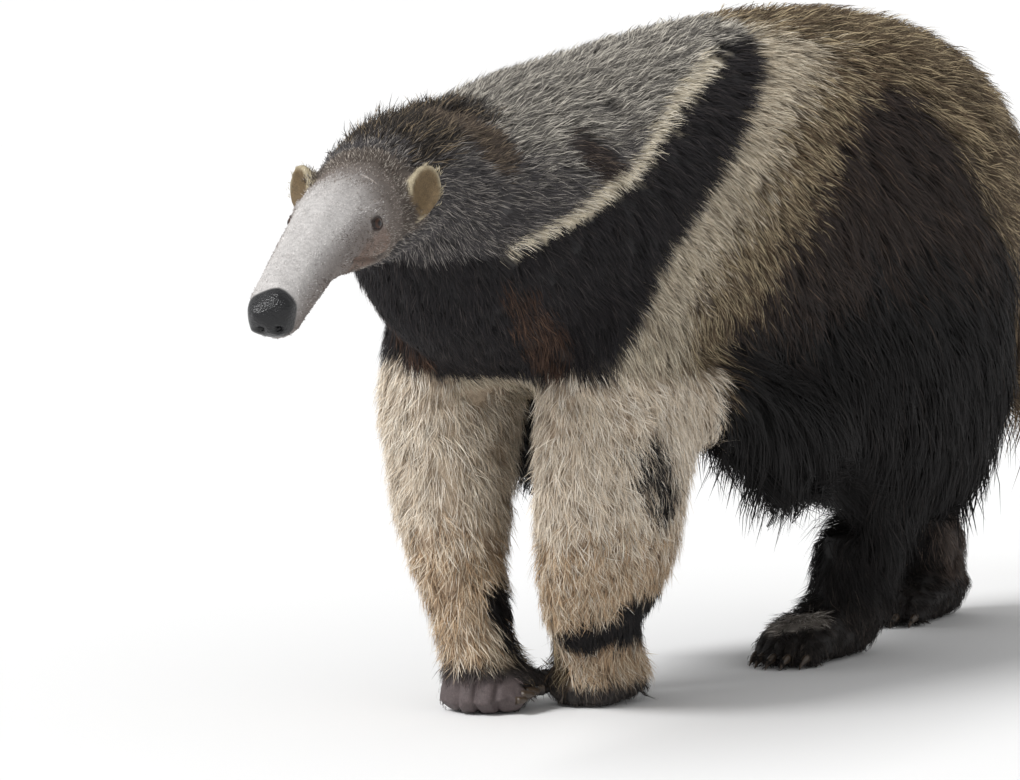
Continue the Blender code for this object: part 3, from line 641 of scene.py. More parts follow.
    def ear_masks(self, points: np.ndarray) -> tuple[np.ndarray, np.ndarray]:
        """Return where points are on the front or rim of an ear, and where in its cup."""
        front, cup = np.zeros(len(points)), np.zeros(len(points))
        for ear in EARS:
            across, behind, along = ear.local(points).T
            reach = np.hypot(across / ear.half[0], (along + 0.001) / ear.half[2])
            here = points[:, 0] * ear.sign > HEAD.centre[0] * ear.sign
            front = np.where(here, ramp(behind + 0.004 * reach, 0.0065, 0.0035), front)
            cup = np.where(here, ramp(reach, 0.86, 0.66), cup)
        return front, cup


MARKINGS = Markings()


def fold_gap(local: np.ndarray, line: tuple[Place, ...]) -> np.ndarray:
    """Return the head's points' distances to a line on its side, less of them counted sideways."""
    flat = np.array((1.0, 0.35, 1.0))
    return line_gap(local * flat, tuple(tuple(np.array(corner) * flat) for corner in line))


def line_gap(points: np.ndarray, line: tuple[Place, ...]) -> np.ndarray:
    """Return each point's distance to a bent line given by its corners."""
    best = np.full(len(points), np.inf)
    for start, end in zip(line, line[1:]):
        first = np.asarray(start)
        along = np.asarray(end) - first
        share = np.clip((points - first) @ along / float(along @ along), 0.0, 1.0)
        best = np.minimum(best, np.linalg.norm(points - first - share[:, None] * along, axis=1))
    return best


def deselect_all() -> None:
    """Leave object mode with nothing selected."""
    if bpy.context.object and bpy.context.object.mode != "OBJECT":
        bpy.ops.object.mode_set(mode="OBJECT")
    bpy.ops.object.select_all(action="DESELECT")


def choose(piece: bpy.types.Object) -> None:
    """Make one object the only one selected and active."""
    deselect_all()
    piece.hide_set(False)
    piece.select_set(True)
    bpy.context.view_layer.objects.active = piece


def vertex_places(mesh: bpy.types.Mesh) -> np.ndarray:
    """Return the mesh's vertices as rows of three numbers."""
    flat = np.empty(len(mesh.vertices) * 3, dtype=np.float32)
    mesh.vertices.foreach_get("co", flat)
    return flat.reshape(-1, 3).astype(float)


def vertex_normals(mesh: bpy.types.Mesh) -> np.ndarray:
    """Return the normals of the mesh's vertices."""
    flat = np.empty(len(mesh.vertices) * 3, dtype=np.float32)
    mesh.vertex_normals.foreach_get("vector", flat)
    return flat.reshape(-1, 3).astype(float)


def place_vertices(mesh: bpy.types.Mesh, places: np.ndarray) -> None:
    """Move the mesh's vertices to new places."""
    mesh.vertices.foreach_set("co", places.astype(np.float32).ravel())
    mesh.update()


def paint(mesh: bpy.types.Mesh, layer: str, colours: np.ndarray) -> None:
    """Store a linear colour at each vertex of a mesh."""
    attribute = mesh.color_attributes.get(layer)
    if attribute is None:
        attribute = mesh.color_attributes.new(layer, "FLOAT_COLOR", "POINT")
    rgba = np.ones((len(colours), 4), dtype=np.float32)
    rgba[:, :3] = colours
    attribute.data.foreach_set("color", rgba.ravel())


def apply_modifier(piece: bpy.types.Object, name: str, kind: str, **settings: object) -> None:
    """Add a modifier with its settings and apply it."""
    choose(piece)
    modifier = piece.modifiers.new(name, kind)
    for setting, value in settings.items():
        setattr(modifier, setting, value)
    bpy.ops.object.modifier_apply(modifier=modifier.name)


class NodeRegions:
    """Finds the region of the body that a point belongs to, from the nearest CAD node."""

    def __init__(self) -> None:
        """Gather the faces of every flesh node."""
        vertices: list[Vector] = []
        faces: list[tuple[int, ...]] = []
        self.owners: list[int] = []
        for number, region in enumerate(REGIONS):
            for name in REGION_NODES[region]:
                mesh = frame["nodes"][name].data
                start = len(vertices)
                vertices.extend(vert.co.copy() for vert in mesh.vertices)
                for face in mesh.polygons:
                    faces.append(tuple(start + index for index in face.vertices))
                    self.owners.append(number)
        self.tree = BVHTree.FromPolygons(vertices, faces)

    def of(self, points: np.ndarray) -> np.ndarray:
        """Return the number of the region nearest to each point."""
        nearest = self.tree.find_nearest
        owners = self.owners
        return np.array([owners[nearest(point)[2]] for point in points.tolist()])


@dataclass(frozen=True)
class Fold:
    """A crease or ridge of the face: its line on the left side, width and depth into the skin."""

    line: tuple[Place, ...]
    width: float
    depth: float


FACE_FOLDS = (
    Fold(((0.1300, 0.0292, 0.0060), (0.1166, 0.0291, 0.0026), (0.0858, 0.0288, -0.0063),
          (0.0675, 0.0304, -0.0108), (0.0560, 0.0333, -0.0112)), 0.0020, 0.0034),
    Fold(((0.1200, 0.0250, -0.0060), (0.0893, 0.0253, -0.0130), (0.0630, 0.0290, -0.0180)), 0.0040, -0.0014),
    Fold(((0.0070, 0.0350, 0.0300), (0.0180, 0.0402, 0.0240), (0.0235, 0.0438, 0.0110),
          (0.0200, 0.0458, -0.0020)), 0.0020, 0.0014),
    Fold(((0.0120, 0.0350, 0.0300), (0.0235, 0.0402, 0.0240), (0.0290, 0.0438, 0.0110)), 0.0022, -0.0010),
    Fold(((0.0439, 0.0420, 0.0078), (0.0375, 0.0410, -0.0083), (0.0345, 0.0340, -0.0198)), 0.0018, 0.0010),
    Fold(((0.0990, 0.0330, 0.0200), (0.1040, 0.0320, 0.0120), (0.1000, 0.0320, 0.0020)), 0.0022, 0.0008),
    Fold(((0.0900, 0.0360, 0.0110), (0.0860, 0.0370, 0.0030)), 0.0015, 0.0009),
    Fold(((0.0560, 0.0340, 0.0300), (0.0700, 0.0330, 0.0330), (0.0860, 0.0310, 0.0320)), 0.0042, -0.0024),
    Fold(((0.0379, 0.0172, 0.0492), (0.0369, 0.0255, 0.0433)), 0.0014, -0.0006),
)


@dataclass(frozen=True)
class EyePlace:
    """Where an eye sits in the head, its size, gaze and the opening of its lids."""

    side: str
    sign: int
    forward: float = 0.0772
    aside: float = 0.0308
    up: float = 0.0208
    radius: float = 0.0071
    half_opening: Span = (0.0076, 0.0048)
    lid: float = 0.0008
    behind: float = 0.004
    reach: float = 0.020
    tucked: float = 0.0016
    slant: Place = (1.0, 0.0, -0.05)

    def centre(self) -> np.ndarray:
        """Return the middle of the eyeball in the head's own distances."""
        return np.array((self.forward, self.sign * self.aside, self.up))

    def gaze(self) -> np.ndarray:
        """Return the direction that the eye looks in, in the head's own directions."""
        return unit(np.array((0.42, self.sign * 0.88, 0.16)))

    def opening_share(self, local: np.ndarray) -> np.ndarray:
        """Return how far from the middle of the lids' opening points are: 1 at its edge."""
        aim = unit(local - self.centre())
        gaze = self.gaze()
        arc = (self.radius + self.lid) * np.arccos(np.clip(aim @ gaze, -1.0, 1.0))
        along = unit(self.slant - gaze * float(np.dot(self.slant, gaze)))
        across = np.cross(gaze, along)
        turn = np.arctan2(aim @ across, aim @ along)
        return arc * np.hypot(np.cos(turn) / self.half_opening[0], np.sin(turn) / self.half_opening[1])


EYES = (EyePlace("left", 1), EyePlace("right", -1))


@dataclass
class Skin:
    """The one skin that stands for every flesh node, inside them by the coat's depth."""

    voxel: float = 0.0030
    overlap: float = 0.0005
    soften_body: int = 30
    soften_all: int = 4
    soften_nose: int = 16
    settle_body: int = 6
    faces: int = 125_000
    tail_width: float = 0.34
    tail_height: float = 0.30
    tail_core: float = 0.62
    tail_start: Span = (0.270, 0.430)
    tail_end: Span = (0.90, 1.09)
    tail_gather: float = 0.06
    lowest: float = 0.0012
    nose_gain: float = 0.0012
    toe_groove: float = 0.0030
    socket: Place = (0.0830, 0.0268, 0.0182)
    socket_reach: float = 0.0088
    knee_rounds: int = 25
    nostril: Place = (0.2810, 0.0068, -0.0040)
    nostril_reach: float = 0.0030
    nostril_depth: float = 0.0055
    nostril_shape: Place = (2.2, 1.0, 0.8)
    nose_start: Span = (0.235, 0.258)
    mouth_depth: float = 0.0016
    mouth_width: float = 0.0013
    wrinkle_depth: float = 0.00038
    wrinkle_spacing: float = 0.0030
    ear_waist: float = 0.36
    ear_shortening: float = 0.10
    ear_cup: float = 0.0016
    lid_colour: Colour = (46, 33, 28)
    # Painted shade: the near-black laid in the crease of the mouth.
    crease_shade_colour: Colour = (16, 12, 12)
    cheek_colour: Colour = (118, 88, 70)
    # A near-white line painted along a small ridge on top of the head.
    pale_line_colour: Colour = (224, 212, 204)
    mouth_line: tuple = ((0.2870, 0.0, -0.0130), (0.2700, 0.0170, -0.0125), (0.2350, 0.0215, -0.0110))
    piece: bpy.types.Object = field(init=False)
    regions: np.ndarray = field(init=False)

    def build(self, nodes: NodeRegions) -> bpy.types.Object:
        """Model the skin, colour it and let it stand for the flesh nodes.

        Args:
            nodes: Finder of the region that a point belongs to.

        Returns:
            The skin.
        """
        self.piece = self.joined_flesh()
        apply_modifier(self.piece, "Fuse", "REMESH", mode="VOXEL", voxel_size=self.voxel)
        self.keep_outside()
        self.soften()
        self.thin_out()
        self.refine(self.near_features, 1)
        self.refine(self.near_eyes, 2)
        mesh = self.piece.data
        self.regions = nodes.of(vertex_places(mesh))
        self.shrink(mesh)
        self.settle()
        mesh = self.piece.data
        self.sculpt_head(mesh)
        self.sculpt_feet(mesh)
        self.sculpt_ears(mesh)
        self.colour(mesh)
        choose(self.piece)
        bpy.ops.object.shade_smooth()
        self.piece.data.materials.clear()
        self.piece.data.materials.append(SkinFinish().material())
        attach(self.piece, BODY)
        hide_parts(*FLESH)
        return self.piece

    def joined_flesh(self) -> bpy.types.Object:
        """Return merged copies of the flesh nodes as one object, each a little swollen."""
        copies = []
        for name in FLESH:
            node = frame["nodes"][name]
            copy = bpy.data.objects.new("skin_part", node.data.copy())
            bpy.context.scene.collection.objects.link(copy)
            choose(copy)
            bpy.ops.object.mode_set(mode="EDIT")
            bpy.ops.mesh.select_all(action="SELECT")
            bpy.ops.mesh.remove_doubles(threshold=0.00001)
            bpy.ops.object.mode_set(mode="OBJECT")
            mesh = copy.data
            place_vertices(mesh, vertex_places(mesh) + vertex_normals(mesh) * self.overlap)
            copies.append(copy)
        for eye in EYES:
            copies.append(self.socket_filling(eye.sign))
        deselect_all()
        for copy in copies:
            copy.select_set(True)
        bpy.context.view_layer.objects.active = copies[0]
        bpy.ops.object.join()
        skin = bpy.context.view_layer.objects.active
        skin.name = "skin"
        return skin

    def socket_filling(self, sign: int) -> bpy.types.Object:
        """Return a ball that fills the wide socket under an eye, up to the side of the head."""
        forward, aside, up = self.socket
        place = HEAD.world((forward, sign * aside, up))
        deselect_all()
        bpy.ops.mesh.primitive_uv_sphere_add(
            segments=24, ring_count=16, radius=self.socket_reach, location=tuple(place)
        )
        ball = bpy.context.view_layer.objects.active
        bpy.ops.object.transform_apply(location=True, rotation=True, scale=True)
        return ball

    def keep_outside(self) -> None:
        """Delete any closed pocket that the fusing left inside the body."""
        choose(self.piece)
        bpy.ops.object.mode_set(mode="EDIT")
        bpy.ops.mesh.select_all(action="DESELECT")
        bpy.ops.object.mode_set(mode="OBJECT")
        places = vertex_places(self.piece.data)
        self.piece.data.vertices[int(np.argmin(places[:, 1]))].select = True
        bpy.ops.object.mode_set(mode="EDIT")
        bpy.ops.mesh.select_linked()
        bpy.ops.mesh.select_all(action="INVERT")
        bpy.ops.mesh.delete(type="VERT")
        bpy.ops.object.mode_set(mode="OBJECT")

    def fill_group(self, name: str, weights: np.ndarray) -> str:
        """Store a weight at each vertex of the skin in a vertex group of that name."""
        group = self.piece.vertex_groups.new(name=name)
        steps = np.round(weights * 10).astype(int)
        for step in range(1, 11):
            members = np.flatnonzero(steps == step).tolist()
            if members:
                group.add(members, step / 10, "REPLACE")
        return name

    def soften(self) -> None:
        """Smooth the facets away: well on the body, a little on head and feet."""
        places = vertex_places(self.piece.data)
        forward, _, _ = HEAD.local(places).T
        body = np.minimum(ramp(forward, -0.020, -0.080), ramp(places[:, 2], 0.060, 0.110))
        self.fill_group("body", body)
        self.fill_group("tip", ramp(forward, 0.225, 0.262))
        apply_modifier(self.piece, "Round", "SMOOTH", iterations=self.soften_nose, vertex_group="tip")
        apply_modifier(self.piece, "Soften", "SMOOTH", iterations=self.soften_body, vertex_group="body")
        apply_modifier(self.piece, "Even", "SMOOTH", iterations=self.soften_all)

    def settle(self) -> None:
        """Smooth away the steps where the coat's depth changes, behind the head and above the feet."""
        places = vertex_places(self.piece.data)
        forward, _, _ = HEAD.local(places).T
        body = np.minimum(ramp(forward, -0.040, -0.090), ramp(places[:, 2], 0.070, 0.110))
        self.fill_group("body", body)
        apply_modifier(self.piece, "Settle", "SMOOTH", iterations=self.settle_body, vertex_group="body")
        places = vertex_places(self.piece.data)
        knees = np.maximum(PATCHES["knee_left"].share(places), PATCHES["knee_right"].share(places))
        self.fill_group("knees", np.clip(2.0 * knees, 0.0, 1.0))
        apply_modifier(self.piece, "Knees", "SMOOTH", iterations=self.knee_rounds, vertex_group="knees")
        self.piece.vertex_groups.clear()

    def thin_out(self) -> None:
        """Use fewer faces on the body, where the coat covers the skin."""
        triangles = 2 * len(self.piece.data.polygons)
        share = min(1.0, self.faces / triangles)
        apply_modifier(
            self.piece, "Thin", "DECIMATE", ratio=share, vertex_group="body", vertex_group_factor=1.0
        )
        self.piece.vertex_groups.clear()

    def near_features(self, places: np.ndarray) -> np.ndarray:
        """Return which places are at eyes, mouth, nose or ear folds."""
        local = HEAD.local(places)
        local[:, 1] = np.abs(local[:, 1])
        close = np.linalg.norm(local - EYES[0].centre(), axis=1) < 0.024
        close |= local[:, 0] > 0.225
        for paw in PAWS:
            close |= paw.toe_front(places) > 0.1
        for fold in FACE_FOLDS:
            close |= fold_gap(local, fold.line) < 0.006
        return close

    def near_eyes(self, places: np.ndarray) -> np.ndarray:
        """Return which places are at the lids or the nostrils."""
        local = HEAD.local(places)
        local[:, 1] = np.abs(local[:, 1])
        close = np.linalg.norm(local - EYES[0].centre(), axis=1) < 0.014
        return close | (np.linalg.norm(local - np.array(self.nostril), axis=1) < 0.010)

    def refine(self, chooser: object, cuts: int) -> None:
        """Subdivide the faces whose corners the chooser picks."""
        choose(self.piece)
        bpy.ops.object.mode_set(mode="EDIT")
        bpy.ops.mesh.select_all(action="DESELECT")
        bpy.ops.mesh.select_mode(type="VERT")
        bpy.ops.object.mode_set(mode="OBJECT")
        mesh = self.piece.data
        mesh.vertices.foreach_set("select", chooser(vertex_places(mesh)))
        bpy.ops.object.mode_set(mode="EDIT")
        bpy.ops.mesh.select_mode(type="VERT")
        bpy.ops.mesh.subdivide(number_cuts=cuts, smoothness=0.0)
        bpy.ops.object.mode_set(mode="OBJECT")

    def shrink(self, mesh: bpy.types.Mesh) -> None:
        """Move the skin inwards by the depth of the coat, and draw the tail in to its core."""
        places = vertex_places(mesh)
        rows = MARKINGS.looks(places, self.regions)
        depth = rows[:, Column.DEPTH.value]
        moved = places - vertex_normals(mesh) * (depth + self.overlap)[:, None]
        tail = ramp(places[:, 1], *self.tail_start) * (self.regions == REGIONS.index(Region.TAIL))
        top = along_curve(places[:, 1], MARKINGS.back_line)
        core = places.copy()
        core[:, 0] *= self.tail_width
        middle = top - (top - places[:, 2].min()) * (1.0 - self.tail_core)
        core[:, 2] = middle + (places[:, 2] - middle) * self.tail_height
        core[:, 1] -= self.tail_gather * ramp(places[:, 1], *self.tail_end)
        moved += tail[:, None] * (core - moved)
        moved[:, 2] = np.maximum(moved[:, 2], self.lowest + 0.0003)
        place_vertices(mesh, moved)

    def sculpt_head(self, mesh: bpy.types.Mesh) -> None:
        """Press folds, mouth, nostrils and lids into the head."""
        places = vertex_places(mesh)
        head = np.flatnonzero(self.regions == REGIONS.index(Region.HEAD))
        normals = vertex_normals(mesh)[head]
        local = HEAD.local(places[head])
        sided = local.copy()
        sided[:, 1] = np.abs(local[:, 1])
        press = -self.nose_gain * ramp(local[:, 0], *self.nose_start)
        for fold in FACE_FOLDS:
            press += fold.depth * np.exp(-((fold_gap(sided, fold.line) / fold.width) ** 2))
        press += self.mouth_depth * np.exp(-((line_gap(sided, self.mouth_line) / self.mouth_width) ** 2))
        press += self.eye_wrinkles(sided)
        local -= (normals @ HEAD.axes().T) * press[:, None]
        hole = np.linalg.norm((sided - np.array(self.nostril)) / np.array(self.nostril_shape), axis=1)
        local[:, 0] -= self.nostril_depth * np.exp(-((hole / self.nostril_reach) ** 2))
        for eye in EYES:
            local = self.with_lids(local, eye)
        places[head] = HEAD.world(local)
        place_vertices(mesh, places)

    def sculpt_feet(self, mesh: bpy.types.Mesh) -> None:
        """Press grooves between the toes."""
        places = vertex_places(mesh)
        press = np.zeros(len(places))
        for paw in PAWS:
            press = np.maximum(press, self.toe_groove * paw.grooves(places))
        moved = places - vertex_normals(mesh) * press[:, None]
        moved[:, 2] = np.maximum(moved[:, 2], self.lowest)
        place_vertices(mesh, moved)

    def sculpt_ears(self, mesh: bpy.types.Mesh) -> None:
        """Narrow the ears towards their base and deepen their cups."""
        places = vertex_places(mesh)
        number = REGIONS.index(Region.EAR)
        for ear in EARS:
            here = (places[:, 0] - HEAD.centre[0]) * ear.sign > 0.0
            own = np.flatnonzero((self.regions == number) & here)
            local = ear.local(places[own])
            free = ramp(local[:, 1], 0.010, 0.004)
            local[:, 0] *= 1.0 - self.ear_waist * free * ramp(local[:, 2], 0.006, -0.024)
            local[:, 2] *= 1.0 - self.ear_shortening * free
            reach = np.hypot(local[:, 0] / ear.half[0], local[:, 2] / ear.half[2])
            cup = ramp(reach, 0.80, 0.20) * ramp(local[:, 1], 0.004, 0.000)
            local[:, 1] += self.ear_cup * cup
            places[own] = ear.middle() + local @ ear.axes()
        place_vertices(mesh, places)

    def eye_wrinkles(self, sided: np.ndarray) -> np.ndarray:
        """Return how deep the fine rings of wrinkles round the eyes press into the skin."""
        gap = np.linalg.norm(sided - EYES[0].centre(), axis=1)
        ring = np.cos(math.tau * gap / self.wrinkle_spacing)
        return self.wrinkle_depth * ring * ramp(gap, 0.0085, 0.0100) * ramp(gap, 0.0185, 0.0125)

    def with_lids(self, local: np.ndarray, eye: EyePlace) -> np.ndarray:
        """Return the head's points with two lids drawn round an eye.

        Args:
            local: The head's points in its own distances.
            eye: The eye to wrap.

        Returns:
            The points, with those behind the opening sunk into the eyeball.
        """
        rel = local - eye.centre()
        gap = np.linalg.norm(rel, axis=1)
        front = rel @ eye.gaze() > -eye.behind
        wrapped = eye.radius + eye.lid
        share = eye.opening_share(local)
        near = front & (gap < eye.reach)
        free = np.maximum(ramp(share, 1.15, 2.1), ramp(gap, 0.0100, 0.0170))
        outer = wrapped + np.maximum(gap - wrapped, 0.0) * free
        inner = eye.radius - eye.tucked
        target = np.where(share < 1.0, inner, outer)
        target = np.where(near, target, gap)
        return eye.centre() + rel * (target / np.maximum(gap, 1e-9))[:, None]

    def colour(self, mesh: bpy.types.Mesh) -> None:
        """Paint the markings on the skin, painted shade in the crease of the mouth, a pale line on a ridge
        of the crown, and wet gloss on nose and lids.
        """
        places = vertex_places(mesh)
        rows = MARKINGS.looks(places, self.regions)
        local = HEAD.local(places)
        local[:, 1] = np.abs(local[:, 1])
        head = self.regions == REGIONS.index(Region.HEAD)
        bare = head * ramp(local[:, 0], 0.030, 0.075)
        share = 0.35 + 0.45 * bare
        share = share[:, None]
        colours = rows[:, Column.ROOT.value] * (1 - share) + rows[:, Column.TIP.value] * share
        gap = np.linalg.norm(local - EYES[0].centre(), axis=1)
        rim = head * ramp(gap, 0.0125, 0.0100) * ramp(EYES[0].opening_share(local), 1.75, 1.15)
        colours += rim[:, None] * (linear(self.lid_colour) - colours)
        # Painted shade: the crease of the mouth is darkened to near black, on top of its carved depth.
        crease = head * np.exp(-((fold_gap(local, FACE_FOLDS[0].line) / 0.0025) ** 2))
        colours += crease[:, None] * (linear(self.crease_shade_colour) - colours)
        cheek = head * PATCHES["cheek"].share(local)
        colours += 0.45 * cheek[:, None] * (linear(self.cheek_colour) - colours)
        # A near-white line painted along the last fold, a small ridge on top of the head.
        pale_line = head * np.exp(-((fold_gap(local, FACE_FOLDS[-1].line) / 0.0013) ** 2))
        colours += 0.8 * pale_line[:, None] * (linear(self.pale_line_colour) - colours)
        paint(mesh, COLOUR_LAYER, np.clip(colours, 0.0, 1.0))
        gloss = head * ramp(local[:, 0] + 0.2 * local[:, 2], 0.266, 0.270)
        gloss = np.maximum(gloss, 0.4 * rim)
        paint(mesh, GLOSS_LAYER, np.repeat(gloss[:, None], 3, axis=1))


def add_node(material: bpy.types.Material, kind: str, **inputs: object) -> bpy.types.Node:
    """Add a shader node and set its input sockets, by value or by linking another socket.

    Args:
        material: Material whose nodes grow.
        kind: Node type.
        inputs: Values or sockets, by socket name with _ for each space.

    Returns:
        The node.
    """
    tree = material.node_tree
    node = tree.nodes.new(kind)
    for name, value in inputs.items():
        socket = node.inputs[name.replace("_", " ")]
        if isinstance(value, bpy.types.NodeSocket):
            tree.links.new(value, socket)
        else:
            socket.default_value = value
    return node


def new_material(name: str) -> tuple[bpy.types.Material, bpy.types.Node]:
    """Return a node material and its Principled shader."""
    material = bpy.data.materials.new(name)
    material.use_nodes = True
    return material, material.node_tree.nodes["Principled BSDF"]


def layer_colour(material: bpy.types.Material, layer: str) -> bpy.types.NodeSocket:
    """Return the colour that a mesh holds in a layer."""
    node = add_node(material, "ShaderNodeAttribute")
    node.attribute_name = layer
    return node.outputs["Color"]


def object_place(material: bpy.types.Material) -> bpy.types.NodeSocket:
    """Return the place on the piece, in metres."""
    return add_node(material, "ShaderNodeTexCoord").outputs["Object"]


def noise(material: bpy.types.Material, scale: float, detail: float) -> bpy.types.NodeSocket:
    """Return fractal noise of a scale over the piece."""
    node = add_node(
        material, "ShaderNodeTexNoise", Vector=object_place(material), Scale=scale, Detail=detail
    )
    return node.outputs["Fac"]


def graded(
    material: bpy.types.Material, factor: bpy.types.NodeSocket, low: tuple, high: tuple
) -> bpy.types.NodeSocket:
    """Return a factor mapped from one span of numbers to another."""
    node = add_node(material, "ShaderNodeMapRange", Value=factor)
    node.inputs["From Min"].default_value, node.inputs["From Max"].default_value = low
    node.inputs["To Min"].default_value, node.inputs["To Max"].default_value = high
    return node.outputs["Result"]


def brightened(
    material: bpy.types.Material, colour: bpy.types.NodeSocket, value: bpy.types.NodeSocket
) -> bpy.types.NodeSocket:
    """Return a colour with its value scaled by another socket."""
    node = add_node(material, "ShaderNodeHueSaturation", Color=colour, Value=value)
    return node.outputs["Color"]


@dataclass(frozen=True)
class SkinFinish:
    """Skin with very short hair: mottled, matt, wet and pebbled where the nose is."""

    roughness: float = 0.72
    wet_roughness: float = 0.24

    def material(self) -> bpy.types.Material:
        """Return the material."""
        material, shader = new_material("skin_finish")
        colour = layer_colour(material, COLOUR_LAYER)
        mottle = graded(material, noise(material, 240.0, 3.0), (0.3, 0.7), (0.84, 1.14))
        speckle = graded(material, noise(material, 1500.0, 2.0), (0.34, 0.66), (0.74, 1.26))
        colour = brightened(material, brightened(material, colour, mottle), speckle)
        wet = layer_colour(material, GLOSS_LAYER)
        dull = graded(material, wet, (0.0, 1.0), (self.roughness, self.wet_roughness))
        tree = material.node_tree
        tree.links.new(colour, shader.inputs["Base Color"])
        tree.links.new(dull, shader.inputs["Roughness"])
        shader.inputs["Specular IOR Level"].default_value = 0.45
        pebbles = add_node(
            material, "ShaderNodeTexVoronoi", Vector=object_place(material), Scale=620.0
        )
        hair = add_node(
            material, "ShaderNodeBump", Height=noise(material, 1300.0, 3.0), Strength=0.55, Distance=0.0005
        )
        pad = graded(material, wet, (0.5, 1.0), (0.0, 0.45))
        skin_bump = add_node(
            material, "ShaderNodeBump", Height=pebbles.outputs["Distance"], Strength=pad,
            Distance=0.0010, Normal=hair.outputs["Normal"],
        )
        tree.links.new(skin_bump.outputs["Normal"], shader.inputs["Normal"])
        return material


@dataclass(frozen=True)
class HairFinish:
    """Coarse dry hair that takes its colour from each strand."""

    roughness: float = 0.70
    gloss: float = 0.24

    def material(self) -> bpy.types.Material:
        """Return the material."""
        material, shader = new_material("hair_finish")
        colour = layer_colour(material, COLOUR_LAYER)
        uneven = graded(material, noise(material, 60.0, 2.0), (0.3, 0.7), (0.90, 1.10))
        tree = material.node_tree
        tree.links.new(brightened(material, colour, uneven), shader.inputs["Base Color"])
        shader.inputs["Roughness"].default_value = self.roughness
        shader.inputs["Specular IOR Level"].default_value = self.gloss
        return material


@dataclass(frozen=True)
class EyeFinish:
    """A wet dark eye whose rings are painted on the ball."""

    roughness: float = 0.10

    def material(self) -> bpy.types.Material:
        """Return the material."""
        material, shader = new_material("eye_finish")
        colour = layer_colour(material, COLOUR_LAYER)
        fibres = graded(material, noise(material, 2600.0, 2.0), (0.3, 0.7), (0.8, 1.2))
        tree = material.node_tree
        tree.links.new(brightened(material, colour, fibres), shader.inputs["Base Color"])
        shader.inputs["Roughness"].default_value = self.roughness
        shader.inputs["Specular IOR Level"].default_value = 0.3
        shader.inputs["Coat Weight"].default_value = 0.12
        shader.inputs["Coat Roughness"].default_value = 0.05
        return material


@dataclass(frozen=True)
class ClawFinish:
    """Horn: streaked along the claw, worn paler in places."""

    dark: Colour = (34, 28, 24)
    pale: Colour = (84, 70, 56)
    roughness: float = 0.42

    def material(self) -> bpy.types.Material:
        """Return the material."""
        material, shader = new_material("claw_finish")
        blend = add_node(
            material, "ShaderNodeMixRGB", Fac=noise(material, 420.0, 4.0),
            Color1=(*linear(self.dark), 1.0), Color2=(*linear(self.pale), 1.0),
        )
        bump = add_node(
            material, "ShaderNodeBump", Height=noise(material, 900.0, 3.0), Strength=0.4, Distance=0.0004
        )
        tree = material.node_tree
        tree.links.new(blend.outputs["Color"], shader.inputs["Base Color"])
        tree.links.new(bump.outputs["Normal"], shader.inputs["Normal"])
        shader.inputs["Roughness"].default_value = self.roughness
        return material


@dataclass(frozen=True)
class Strands:
    """Guides of one piece of the coat: their points, normals, looks and regions."""

    points: np.ndarray
    normals: np.ndarray
    rows: np.ndarray
    regions: np.ndarray


